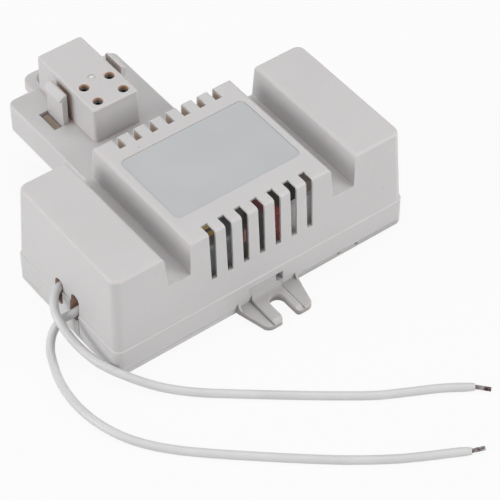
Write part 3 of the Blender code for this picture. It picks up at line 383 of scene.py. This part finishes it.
def strandTree():  # strands that wind round one another along +Z
    kinds = {"Count": "Int", "Turns": "Float", "Length": "Float"}
    kinds |= {"Bundle Radius": "Float", "Strand Radius": "Float", "Material": "Material"}
    tree = Tree("twistedStrands", kinds)
    given, add, calc = tree.given, tree.add, tree.calc
    top = add("ShaderNodeCombineXYZ", Z=given["Length"]).outputs[0]
    line = add("GeometryNodeCurvePrimitiveLine", End=top).outputs[0]
    fine = add("GeometryNodeResampleCurve", Curve=line, Count=strandBundle["points"])
    copies = add(
        "GeometryNodeDuplicateElements",
        {"domain": "SPLINE"},
        Geometry=fine.outputs[0],
        Amount=given["Count"],
    )
    along = add("GeometryNodeSplineParameter").outputs["Factor"]
    last = calc("SUBTRACT", given["Count"], 1.0)
    start = calc("DIVIDE", copies.outputs["Duplicate Index"], last)
    turned = calc("ADD", start, calc("MULTIPLY", along, given["Turns"]))
    angle = calc("MULTIPLY", turned, 2 * math.pi)
    outer = calc("LESS_THAN", start, 0.999)  # the last strand is the straight core
    reach = calc("MULTIPLY", given["Bundle Radius"], outer)
    offset = add(
        "ShaderNodeCombineXYZ",
        X=calc("MULTIPLY", calc("COSINE", angle), reach),
        Y=calc("MULTIPLY", calc("SINE", angle), reach),
    )
    offset = offset.outputs[0]
    wound = add("GeometryNodeSetPosition", Geometry=copies.outputs[0], Offset=offset)
    profile = add(
        "GeometryNodeCurvePrimitiveCircle",
        Resolution=strandBundle["sides"],
        Radius=given["Strand Radius"],
    )
    swept = add(
        "GeometryNodeCurveToMesh",
        Curve=wound.outputs[0],
        Profile_Curve=profile.outputs[0],
        Fill_Caps=True,
    )
    return tree.finish(swept.outputs[0])


bundle = strandTree()


def grown(name, tree, values, place):  # a plain mesh from a node tree, set in its place
    seed = linked(name + "Seed", bpy.data.meshes.new(name + "Seed"))
    grow = seed.modifiers.new("grow", "NODES")
    grow.node_group = tree.group
    for label, value in values.items():
        grow[tree.sockets[label]] = value
    mesh = evaluated(seed)
    mesh.transform(place)
    mesh.name = name
    seed.modifiers.remove(grow)
    bpy.data.objects.remove(seed)
    mesh.shade_smooth()
    return linked(name, mesh)


def makeWire(end, settings):
    line = smoothRoute(settings["route"], sleeve["spacing"])
    curve = bpy.data.curves.new(end + "Wire", "CURVE")
    curve.dimensions = "3D"
    curve.bevel_depth = wireDiameter / 2
    curve.bevel_resolution = sleeve["facets"]
    curve.use_fill_caps = True
    spline = curve.splines.new("POLY")
    spline.points.add(len(line) - 1)
    for spot, point in zip(spline.points, line):
        spot.co = (*point, 1)
    for spot, share in zip(spline.points[-len(sleeve["taper"]) :], sleeve["taper"]):
        spot.radius = share
    curve.materials.append(wireSleeve)
    wire = linked(end + "Wire", curve)
    aim = (line[-1] - line[-2]).normalized()
    aim.rotate(Matrix.Rotation(math.radians(settings["bend"]), 3, "Z"))
    values = {
        "Count": strandBundle["count"],
        "Turns": strandBundle["turns"],
        "Length": settings["strand"] + pieceGap,
        "Bundle Radius": strandBundle["bundle"],
        "Strand Radius": strandBundle["strand"],
        "Material": tinnedStrands,
    }
    strands = grown(end + "Strands", bundle, values, aimed(line[-1], aim, "Z"))
    parts = ((wire, "supply_wire_", "wire_sleeve"), (strands, "wire_end_", "tinned_copper"))
    for piece, node, slot in parts:
        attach(piece, "root")
        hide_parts(node + end)
    measured = sum((q - p).length for p, q in zip(line, line[1:]))
    print(end, "wire", round(measured / mm, 1), "mm")


for end, settings in wires.items():
    makeWire(end, settings)


# White mouldings; places and boxes in mm, each box by its lowest and highest corners
plastic = {
    "colour": rgb(207, 205, 205),
    "clouded": rgb(203, 201, 201),
    "speck": rgb(150, 143, 136),
    "speckShare": 0.4,
    "boreShadeShare": 0.85,
    "boreShadeTint": rgb(196, 160, 134),
    "recess": 2.6 * mm,
    "recessTint": rgb(178, 140, 112),
    "gloss": 0.44,
    "grain": 0.02 * mm,
    "grainStrength": 0.25,
    "glow": 0.25,
    "glowColours": (1.0, 0.62, 0.42),
    "glowReach": 1.6 * mm,
}
gateMark = {
    "place": (-7.4, 23.7),
    "radius": 0.72,
    "foot": 31.5,
    "clear": 1.6,  # half the width that the bores' painted shade leaves round it
    "colour": rgb(228, 228, 228),
}
# Painted shade on the fork lug: greyer towards the body, and darker low on its flanks; in mm
lug = {
    "rear": -41.2,
    "left": -9.5,
    "reach": -45.5,
    "colour": rgb(178, 175, 174),
    "flank": 1.4,
    "flankShade": rgb(162, 158, 156),
}
bores = ((-13.6, 12.8, 22.2), (-0.9, 24.1, 33.02))
# Painted shade in the hollows behind and inside the wire arches, brown and warmed by light
# through the plastic
archInsideShade = ((-45.12, -24.6, 2.2), (-43.4, -11.5, 15.0))
archShade = {
    "rear": ((-45.35, -17.6, 2.6), (-42.5, -11.5, 13)),
    "front": ((-45.35, -24.5, 7.9), (-42.5, -17.6, 13)),
    "tab": ((-45.6, -21.2, 7.9), (-43.0, -20.6, 13)),
    "colour": rgb(134, 112, 98),
    "paleShade": rgb(206, 172, 150),
}


def whiteRecipe(name):  # satin, faintly cloudy, with a fine grain and a few dark specks
    recipe = Recipe(name)
    cloud = recipe.patches(38, 3, 0.55)
    tint = recipe.mix(cloud, plastic["clouded"], plastic["colour"])
    speck = recipe.noise(780, 1, 0.5).above(0.8, 0.01)
    tint = recipe.mix(speck * plastic["speckShare"], tint, plastic["speck"])
    handled = recipe.sheen(150, plastic["gloss"] - 0.05, plastic["gloss"] + 0.07)
    flow = recipe.noise(7, 1, 0.5, recipe.stretched((1, 1, 4)))
    grain = recipe.noise(5200, 2, 0.6) + flow * 0.3
    return recipe, tint, handled, recipe.bump(grain, plastic["grainStrength"], plastic["grain"])


def warmRecess(recipe, tint):  # light that comes through the plastic turns recesses tan
    nearness = {"samples": 6, "only_local": True, "out": "AO"}
    openness = recipe.node("ShaderNodeAmbientOcclusion", nearness, Distance=plastic["recess"])
    return recipe.mix(openness.ramped(0.1, 0.6, 0.95, 0.0), tint, plastic["recessTint"])


def finishPlastic(recipe, tint, rough, surface):
    return recipe.finish(
        Base_Color=tint,
        Roughness=rough,
        Normal=surface,
        Subsurface_Weight=plastic["glow"],
        Subsurface_Radius=plastic["glowColours"],
        Subsurface_Scale=plastic["glowReach"],
    )


def inBox(recipe, corners, soft=0.06):  # 1 inside a box, softly, and 0 outside
    inside = 1
    for letter, low, high in zip("XYZ", *corners):
        along = recipe.axis(letter)
        inside = inside * along.above(low * mm, soft * mm) * along.below(high * mm, soft * mm)
    return inside


def coverMaterial():
    recipe, tint, rough, surface = whiteRecipe("coverPlastic")
    across = recipe.axis("X") - gateMark["place"][0] * mm
    deep = recipe.axis("Y") - gateMark["place"][1] * mm
    away = (across * across + deep * deep).root()
    pin = away.below(gateMark["radius"] * mm, 0.05 * mm)
    pin = pin * recipe.over("Z", gateMark["foot"], 0.2)
    tint = recipe.mix(pin, tint, gateMark["colour"])
    # painted shade on the bores' walls, tan and warmed by light through the plastic, kept clear
    # of the gate mark
    aside = abs(recipe.axis("X") - gateMark["place"][0] * mm)
    aside = aside.above(gateMark["clear"] * mm, 0.1 * mm)
    boreShade = inBox(recipe, bores) * aside * plastic["boreShadeShare"]
    tint = recipe.mix(boreShade, warmRecess(recipe, tint), plastic["boreShadeTint"])
    # painted tan shade inside the wire arches
    tint = recipe.mix(inBox(recipe, archInsideShade), tint, archShade["paleShade"])
    return finishPlastic(recipe, tint, rough, surface)


def linerMaterial():
    recipe, tint, rough, surface = whiteRecipe("linerPlastic")
    # tan: painted shade, warmed by light through the thin plastic
    tint = recipe.mix(liner["shadeShare"], tint, liner["tint"])
    return finishPlastic(recipe, tint, rough, surface)


def plateMaterial():  # painted shade: greyer on the fork lug, and brown behind the wire arches
    recipe, tint, rough, surface = whiteRecipe("platePlastic")
    shade = recipe.under("Y", lug["rear"], 0.2) * recipe.over("X", lug["left"], 0.2)
    shadeFade = recipe.axis("Y").ramped(lug["reach"] * mm, lug["rear"] * mm, 0.35, 1.0)
    tint = recipe.mix(shade * shadeFade, tint, lug["colour"])
    # darker still low on the lug's flanks: painted shade
    flank = shade * recipe.under("Z", lug["flank"], 0.2)
    tint = recipe.mix(flank, tint, lug["flankShade"])
    # brown painted shade behind the wire arches, paler on the tab
    for corners, colour in (("rear", "colour"), ("front", "colour"), ("tab", "paleShade")):
        tint = recipe.mix(inBox(recipe, archShade[corners]), tint, archShade[colour])
    return finishPlastic(recipe, tint, rough, surface)


pads = {"level": 17, "dark": rgb(150, 134, 120), "light": rgb(164, 148, 134)}


def armFloorMaterial():  # brown above 17 mm, on the pads that close the clips' core holes
    recipe, tint, rough, surface = whiteRecipe("armPlastic")
    padMask = recipe.over("Z", pads["level"], 0.3)
    padBrown = recipe.mix(recipe.patches(300, 3), pads["dark"], pads["light"])
    return finishPlastic(recipe, recipe.mix(padMask, tint, padBrown), rough, surface)


def paperMaterial():  # the blank label
    recipe = Recipe("blankLabel")
    cloud = recipe.patches(60)
    fibre = recipe.noise(2400, 3, 0.6)
    return recipe.finish(
        Base_Color=recipe.mix(cloud, rgb(186, 188, 190), rgb(190, 192, 194)),
        Roughness=recipe.sheen(200, 0.44, 0.56),
        Normal=recipe.bump(fibre + recipe.noise(90, 1) * 0.6, 0.15, 0.02 * mm),
    )


def dullMetal(name, dark, light, rough, scale=900):
    recipe = Recipe(name)
    patch = recipe.noise(scale, 2).ramped(0.35, 0.7)
    return recipe.finish(
        Base_Color=recipe.mix(patch, dark, light),
        Metallic=1.0,
        Roughness=recipe.sheen(scale * 1.7, rough - 0.08, rough + 0.1),
        Normal=recipe.bump(recipe.noise(scale * 3, 2), 0.2, 0.01 * mm),
    )


# Light that the thin white walls let through to the pieces inside
throughWalls = {"Emission_Color": rgb(196, 198, 196), "Emission_Strength": 0.036}


def sheetMetal():  # rolled aluminium, its lines along X
    recipe = Recipe("rolledAluminium")
    line = recipe.noise(900, 3, 0.6, recipe.stretched((0.05, 1, 1)))
    return recipe.finish(
        Base_Color=recipe.mix(line.ramped(0.3, 0.7), rgb(240, 241, 243), rgb(250, 251, 252)),
        Metallic=0.12,
        Roughness=line.ramped(0.2, 0.8, 0.3, 0.42),
        Normal=recipe.bump(line, 0.25, 0.01 * mm),
        **throughWalls,
    )


def finishCast(recipe, tint, rough=0.5, grainScale=1400, grainDepth=0.02):
    return recipe.finish(
        Base_Color=tint,
        Roughness=recipe.sheen(500, rough - 0.06, rough + 0.08),
        Normal=recipe.bump(recipe.noise(grainScale, 3, 0.65), 0.3, grainDepth * mm),
        **throughWalls,
    )


def castBody(name, dark, light, *surface):
    recipe = Recipe(name)
    return finishCast(recipe, recipe.mix(recipe.patches(220, 3, 0.6), dark, light), *surface)


caseLeftShade = {"left": 15.9, "colour": rgb(30, 28, 28)}


def dippedCase():  # a tan case with painted shade, dark, on its left face
    recipe = Recipe("tanCase")
    tan = recipe.mix(recipe.patches(220, 3, 0.6), rgb(238, 216, 196), rgb(246, 228, 210))
    rest = recipe.over("X", caseLeftShade["left"], 0.3)
    return finishCast(recipe, recipe.mix(rest, caseLeftShade["colour"], tan))


wrap = {"box": ((-4.2, -38.0, 18.4), (-0.5, -34.0, 22.4)), "colour": rgb(164, 112, 104)}


def leadWrap():  # black bobbin with a reddish wrap on its right flange
    recipe = Recipe("bobbinPlastic")
    black = recipe.mix(recipe.patches(220, 3, 0.6), rgb(58, 58, 60), rgb(70, 70, 72))
    wrapped = inBox(recipe, wrap["box"], 0.15)
    return finishCast(recipe, recipe.mix(wrapped, black, wrap["colour"]))


def finishDipped(recipe, tint):  # glossy epoxy with a soft orange peel
    return recipe.finish(
        Base_Color=tint,
        Roughness=recipe.sheen(400, 0.22, 0.34),
        Normal=recipe.bump(recipe.noise(700, 1), 0.2, 0.05 * mm),
        **throughWalls,
    )


def dippedBody(name, dark, light):
    recipe = Recipe(name)
    return finishDipped(recipe, recipe.mix(recipe.patches(170), dark, light))


filmLeftShade = {"face": 5.0, "top": 22.6, "colour": rgb(150, 150, 152)}


def dippedFilm():  # red epoxy, painted grey low on the left face for the shade there
    recipe = Recipe("dippedFilm")
    red = recipe.mix(recipe.patches(170), rgb(176, 62, 68), rgb(192, 74, 78))
    bare = recipe.under("X", filmLeftShade["face"]) * recipe.under("Z", filmLeftShade["top"])
    return finishDipped(recipe, recipe.mix(bare, red, filmLeftShade["colour"]))


# Yellow tape over the core's top, and as a narrow band across the winding
tape = {
    "coreLevel": 23.5,
    "coreEnd": -8.2,
    "bandMiddle": -32.0,
    "bandHalf": 0.75,
    "bandEnd": -8.8,
    "colour": rgb(214, 184, 96),
    "light": rgb(226, 198, 112),
}


def tapedCore():  # sintered core with tape on the left of its top
    recipe = Recipe("tapedCore")
    grain = recipe.noise(1600, 3, 0.65)
    sinter = recipe.mix(recipe.patches(260, 3), rgb(60, 60, 62), rgb(74, 74, 76))
    band = recipe.over("Z", tape["coreLevel"]) * recipe.under("X", tape["coreEnd"])
    yellow = recipe.mix(recipe.patches(300), tape["colour"], tape["light"])
    return recipe.finish(
        Base_Color=recipe.mix(band, sinter, yellow),
        Roughness=band.ramped(0, 1, 0.72, 0.34),
        Normal=recipe.bump(grain + band * 0.8, 0.35, 0.03 * mm),
        **throughWalls,
    )


winding = {
    "pitch": 0.55,
    "top": 22.2,
    "sheen": 15.0,
    "paintedSheenFade": 5,
    "paintedSheenColour": rgb(176, 178, 180),
}


def tapedWinding():  # dark glossy tape over the turns, which show through as ribs, and a painted sheen low down
    recipe = Recipe("tapedWinding")
    turn = (recipe.axis("X") * (2 * math.pi / winding["pitch"] / mm)).sine()
    cloud = recipe.patches(240)
    dark = recipe.mix(cloud, rgb(96, 98, 101), rgb(120, 122, 125))
    band = recipe.near("Y", tape["bandMiddle"], tape["bandHalf"], 0.06)
    band = band * recipe.under("X", tape["bandEnd"]) * recipe.over("Z", winding["top"])
    # lighter below 15 mm: a painted sheen
    sheen = recipe.under("Z", winding["sheen"], winding["paintedSheenFade"])
    dark = recipe.mix(sheen, dark, winding["paintedSheenColour"])
    return recipe.finish(
        Base_Color=recipe.mix(band, dark, tape["colour"]),
        Roughness=recipe.sheen(420, 0.24, 0.36),
        Normal=recipe.bump(turn * 0.5 + recipe.noise(600, 2), 0.3, 0.06 * mm),
        **throughWalls,
    )


def laminate():
    recipe = Recipe("boardLaminate")
    weave = recipe.noise(1200, 3, 0.6, recipe.stretched((1, 4, 1)))
    return recipe.finish(
        Base_Color=recipe.mix(weave.ramped(0.3, 0.7), rgb(186, 154, 108), rgb(202, 172, 126)),
        Roughness=recipe.sheen(300, 0.42, 0.55),
        Normal=recipe.bump(weave, 0.2, 0.02 * mm),
        **throughWalls,
    )


resistorRings = {
    "half": 0.28,
    "rings": (
        (25.4, rgb(110, 62, 40)),
        (26.9, rgb(40, 40, 42)),
        (28.4, rgb(170, 60, 44)),
        (29.9, rgb(176, 140, 60)),
    ),
}


def bandedResistor():  # coated body with colour rings across X
    recipe = Recipe("bandedResistor")
    body = recipe.mix(recipe.patches(300), rgb(186, 168, 132), rgb(202, 186, 152))
    for place, colour in resistorRings["rings"]:
        ring = recipe.near("X", place, resistorRings["half"], 0.03)
        body = recipe.mix(ring, body, colour)
    return recipe.finish(
        Base_Color=body,
        Roughness=recipe.sheen(500, 0.28, 0.4),
        Normal=recipe.bump(recipe.noise(900, 2), 0.15, 0.02 * mm),
    )


finishes = {
    "paper": paperMaterial(),
    "contact": dullMetal("darkBronze", rgb(104, 108, 112), rgb(128, 132, 136), 0.5),
    "tinned": dullMetal("tinnedWire", rgb(150, 148, 144), rgb(190, 188, 184), 0.4),
    "aluminium": sheetMetal(),
    "tapedCore": tapedCore(),
    "core": castBody("sinteredCore", rgb(44, 44, 46), rgb(62, 62, 64), 0.72, 1600, 0.03),
    "bobbin": leadWrap(),
    "winding": tapedWinding(),
    "copper": dullMetal("enamelledCopper", rgb(120, 62, 34), rgb(168, 92, 52), 0.3, 600),
    "blackSleeve": castBody("shrinkSleeve", rgb(58, 59, 61), rgb(76, 77, 79), 0.3, 500, 0.03),
    "redFilm": dippedFilm(),
    "redEpoxy": dippedBody("redEpoxy", rgb(178, 54, 62), rgb(198, 68, 74)),
    "brownDisc": dippedBody("brownDisc", rgb(184, 112, 104), rgb(200, 128, 118)),
    "tan": dippedCase(),
    "package": castBody("mouldedPackage", rgb(28, 28, 29), rgb(40, 40, 42), 0.55),
    "resistor": bandedResistor(),
    "fuse": castBody("fuseCeramic", rgb(196, 190, 176), rgb(212, 206, 194), 0.3),
    "terminal": castBody("terminalPlastic", rgb(92, 74, 60), rgb(108, 88, 72), 0.5),
    "laminate": laminate(),
}
print("finishes ready,", len(finishes))


# Moulded and metal pieces: welded copies of the solids with softened edges, in mm and degrees
dressing = {
    "outward": 0,
    "down": 0,
    "footBand": 0.05,  # corners this near the lowest one count as the foot
    "moves": (),
    "segments": 2,
    "crease": 40,
    "corner": 24,
    "weight": 80,
}
weld = {"near": 0.002, "flat": 0.6}


def welded(node):
    mesh = nodes[node].data.copy()
    build = bmesh.new()
    build.from_mesh(mesh)
    bmesh.ops.remove_doubles(build, verts=build.verts, dist=weld["near"] * mm)
    flat = math.radians(weld["flat"])
    bmesh.ops.dissolve_limit(build, angle_limit=flat, verts=build.verts, edges=build.edges)
    build.to_mesh(mesh)
    build.free()
    return mesh


def fitCloser(mesh, settings):  # closes gaps that the solids keep, and shifts a few corners
    outward, down = settings["outward"] * mm, settings["down"] * mm
    middle = [(min(c) + max(c)) / 2 for c in zip(*[v.co for v in mesh.vertices])]
    foot = min(v.co.z for v in mesh.vertices) + settings["footBand"] * mm
    for spot in mesh.vertices:
        for k in (0, 1):
            spot.co[k] += math.copysign(outward, spot.co[k] - middle[k])
        if spot.co.z < foot:
            spot.co.z -= down
    for lowest, highest, move in settings["moves"]:
        for spot in mesh.vertices:
            corners = zip(lowest, spot.co, highest)
            if all(low * mm < c < high * mm for low, c, high in corners):
                spot.co += Vector(move) * mm


def dressed(node, changes):
    settings = {**dressing, **changes}
    mesh = welded(node)
    fitCloser(mesh, settings)
    mesh.materials.clear()
    mesh.materials.append(settings["material"])
    mesh.shade_smooth()
    mesh.set_sharp_from_angle(angle=math.radians(settings["crease"]))
    piece = linked(node + "Dressed", mesh)
    soft = piece.modifiers.new("softEdges", "BEVEL")
    soft.width = settings["edge"] * mm
    soft.segments = settings["segments"]
    soft.limit_method = "ANGLE"
    soft.angle_limit = math.radians(settings["corner"])
    soft.use_clamp_overlap = True
    even = piece.modifiers.new("evenShading", "WEIGHTED_NORMAL")
    even.keep_sharp = True
    even.weight = settings["weight"]
    final = evaluated(piece)
    piece.modifiers.clear()
    piece.data = final
    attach(piece, "root")
    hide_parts(node)


# What each copy sets itself; "moves" holds boxes and the shift of the corners in them
mouldings = {
    "housing_cover": {
        "edge": 0.15,
        "material": coverMaterial(),
        "slot": "white_plastic",
        "down": 0.22,
        "moves": [((-16.45, 22.8, 22.0), (-16.0, 30.3, 32.2), (0.35, 0, 0))],  # left clip
    },
    "base_plate": {
        "edge": 0.15,
        "material": plateMaterial(),
        "slot": "white_plastic",
        "moves": [
            ((-4.6, -41.3, 1.2), (-4.4, -38.8, 6.2), (-0.24, 0, 0)),
            ((5.4, -41.3, 1.2), (5.6, -38.8, 6.2), (0.24, 0, 0)),
            ((-5.0, -41.3, 6.0), (3.7, -38.8, 6.2), (0, 0, 0.24)),
            ((-45.9, -21.0, 11.1), (-43.0, -17.4, 11.3), (0, 0, 0.24)),
            ((-5.0, -51.45, 0.75), (-4.4, -41.4, 0.85), (0, 0, 0.64)),
            ((4.7, -51.45, 0.75), (5.3, -41.4, 0.85), (0, 0, 0.64)),
        ],
    },
    "arm_floor": {"edge": 0.15, "material": armFloorMaterial(), "slot": "white_plastic"},
    "rating_label": {
        "edge": 0.03,
        "segments": 1,
        "outward": 0.27,
        "material": finishes["paper"],
        "slot": "label_paper",
    },
}
for node, settings in mouldings.items():
    dressed(node, settings)
print("mouldings and label dressed")

# Walls that carry each rear notch on below the top of the cover, in mm, at the notches' pitch;
# "spare" is how far the hollow reaches past the open top and rear
liner = {
    "count": 7,
    "pitch": 5.0,
    "offset": -0.2,
    "width": 2.1,
    "front": -2.0,
    "rear": 1.8,
    "foot": 24.05,
    "top": 31.55,
    "wall": 0.5,
    "floor": 0.12,
    "spare": 2.0,
    # the cups' tan is painted shade, warmed by light through the thin plastic
    "shadeShare": 0.85,
    "tint": rgb(206, 182, 162),
}


def linerTree():  # a row of cups along X, each a box less a box
    kinds = {"Count": "Int", "Pitch": "Float", "Outside": "Vector", "Inside": "Vector"}
    kinds |= {"Inside Place": "Vector", "Material": "Material"}
    tree = Tree("notchLiners", kinds)
    given, add = tree.given, tree.add
    shell = add("GeometryNodeMeshCube", Size=given["Outside"]).outputs["Mesh"]
    hollow = add("GeometryNodeMeshCube", Size=given["Inside"]).outputs["Mesh"]
    place = given["Inside Place"]
    moved = add("GeometryNodeTransform", Geometry=hollow, Translation=place).outputs[0]
    less = {"operation": "DIFFERENCE"}
    cup = add("GeometryNodeMeshBoolean", less, Mesh_1=shell, Mesh_2=moved)
    step = add("ShaderNodeCombineXYZ", X=given["Pitch"]).outputs[0]
    row = add("GeometryNodeMeshLine", Count=given["Count"], Offset=step)
    points, copy = row.outputs["Mesh"], cup.outputs["Mesh"]
    placed = add("GeometryNodeInstanceOnPoints", Points=points, Instance=copy)
    return tree.finish(placed.outputs[0])


def makeLiners(settings):
    width, front, rear = (settings[key] for key in ("width", "front", "rear"))
    wall, floor, spare = (settings[key] for key in ("wall", "floor", "spare"))
    deep = rear - front + wall
    tall = settings["top"] - settings["foot"] + floor
    inside = (width, deep - wall + spare, tall - floor + spare)
    values = {
        "Count": settings["count"],
        "Pitch": settings["pitch"] * mm,
        "Outside": Vector((width + 2 * wall, deep, tall)) * mm,
        "Inside": Vector(inside) * mm,
        "Inside Place": Vector((0, (wall + spare) / 2, (floor + spare) / 2)) * mm,
        "Material": linerMaterial(),
    }
    first = settings["offset"] - (settings["count"] - 1) / 2 * settings["pitch"]
    centre = Vector((first, rear - deep / 2, settings["top"] - tall / 2))
    row = grown("notchLiners", linerTree(), values, Matrix.Translation(centre * mm))
    row.data.shade_flat()
    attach(row, "root")


makeLiners(liner)
print("notch liners made")

# Edge in mm, finish and slot
innerPieces = {
    "choke_core_left": (0.12, "tapedCore", "ferrite"),
    "choke_core_right": (0.12, "tapedCore", "ferrite"),
    "choke_bobbin": (0.1, "bobbin", "bobbin_plastic"),
    "choke_winding": (0.1, "winding", "yellow_tape"),
    "reservoir_capacitor": (0.1, "blackSleeve", "black_sleeve"),
    "film_capacitor_front": (0.1, "redFilm", "red_epoxy"),
    "film_capacitor_side": (0.1, "redEpoxy", "red_epoxy"),
    "disc_capacitor": (0.05, "brownDisc", "red_epoxy"),
    "heat_sink": (0.08, "aluminium", "aluminium"),
    "snubber_capacitor": (0.1, "tan", "tan_case"),
    "supply_terminal": (0.1, "terminal", "terminal_plastic"),
}
for i in range(1, 5):
    innerPieces[f"lamp_contact_{i}"] = (0.04, "contact", "contact_brass")
for node, (edge, finish, slot) in innerPieces.items():
    dressed(node, {"edge": edge, "material": finishes[finish], "slot": slot})
print("inner pieces dressed,", len(innerPieces))

# Pieces whose solids stay as they are take a finish only
keptFinishes = {
    "contact_lead_": "tinned",
    "circuit_board": "laminate",
    "filter_spool": "core",
    "drive_ring": "core",
    "filter_winding": "copper",
    "line_capacitor": "tan",
    "rectifier_diode_": "package",
    "power_transistor_": "package",
    "resistor_": "resistor",
    "line_fuse": "fuse",
}
for node, piece in nodes.items():
    for start, finish in keptFinishes.items():
        if node.startswith(start):
            piece.material_slots[0].material = finishes[finish]
print("kept pieces finished")


# Floor, world and lamps
studio = {
    "floorColour": (0.72, 0.72, 0.72, 1),
    "floorGlow": 0.9,
    "floorSize": 6,
    "world": 0.42,
    "aim": (0, 0, 0.01),
    "lamps": {
        "leftLamp": {"place": (-1.35, 0.35, 0.65), "size": 0.8, "power": 11},
        "frontLamp": {"place": (0.85, -1.15, 0.6), "size": 0.8, "power": 10.5},
        "topLamp": {"place": (0.1, 0.2, 1.5), "size": 1.2, "power": 6.5},
    },
}


def makeFloor(settings):  # near white to the camera, and grey to the light that it bounces
    recipe = Recipe("paleFloor")
    seen = recipe.node("ShaderNodeLightPath", {"out": "Is Camera Ray"})
    mirrored = recipe.node("ShaderNodeLightPath", {"out": "Is Glossy Ray"})
    passed = recipe.node("ShaderNodeLightPath", {"out": "Is Transmission Ray"})
    plain = recipe.node("ShaderNodeBsdfDiffuse", {}, Color=settings["floorColour"])
    white = recipe.node("ShaderNodeEmission", {}, Color=(1, 1, 1, 1), Strength=1.0)
    share = (seen * settings["floorGlow"]).most(mirrored).most(passed)
    mixed = recipe.node("ShaderNodeMixShader", {}, share, plain, white)
    recipe.tree.links.new(mixed.socket, recipe.output.inputs["Surface"])
    bpy.ops.mesh.primitive_plane_add(size=settings["floorSize"], location=(0, 0, 0))
    floor = bpy.context.object
    floor.name = "floor"
    floor.data.materials.append(recipe.material)


def makeWorld(strength):
    world = bpy.data.worlds.new("studio")
    bpy.context.scene.world = world
    world.use_nodes = True
    tree = world.node_tree
    tree.nodes.clear()
    output = tree.nodes.new("ShaderNodeOutputWorld")
    plain = tree.nodes.new("ShaderNodeBackground")
    plain.inputs["Color"].default_value = (1, 1, 1, 1)
    plain.inputs["Strength"].default_value = strength
    tree.links.new(plain.outputs[0], output.inputs[0])


def makeLamp(name, settings):
    lamp = bpy.data.lights.new(name, "AREA")
    lamp.shape = "SQUARE"
    lamp.size = settings["size"]
    lamp.energy = settings["power"]
    place = Vector(settings["place"])
    aim = Vector(studio["aim"]) - place
    linked(name, lamp).matrix_world = aimed(place, aim, "-Z")


makeFloor(studio)
makeWorld(studio["world"])
for name, settings in studio["lamps"].items():
    makeLamp(name, settings)
bpy.context.scene.view_settings.view_transform = "Standard"
print("studio ready")
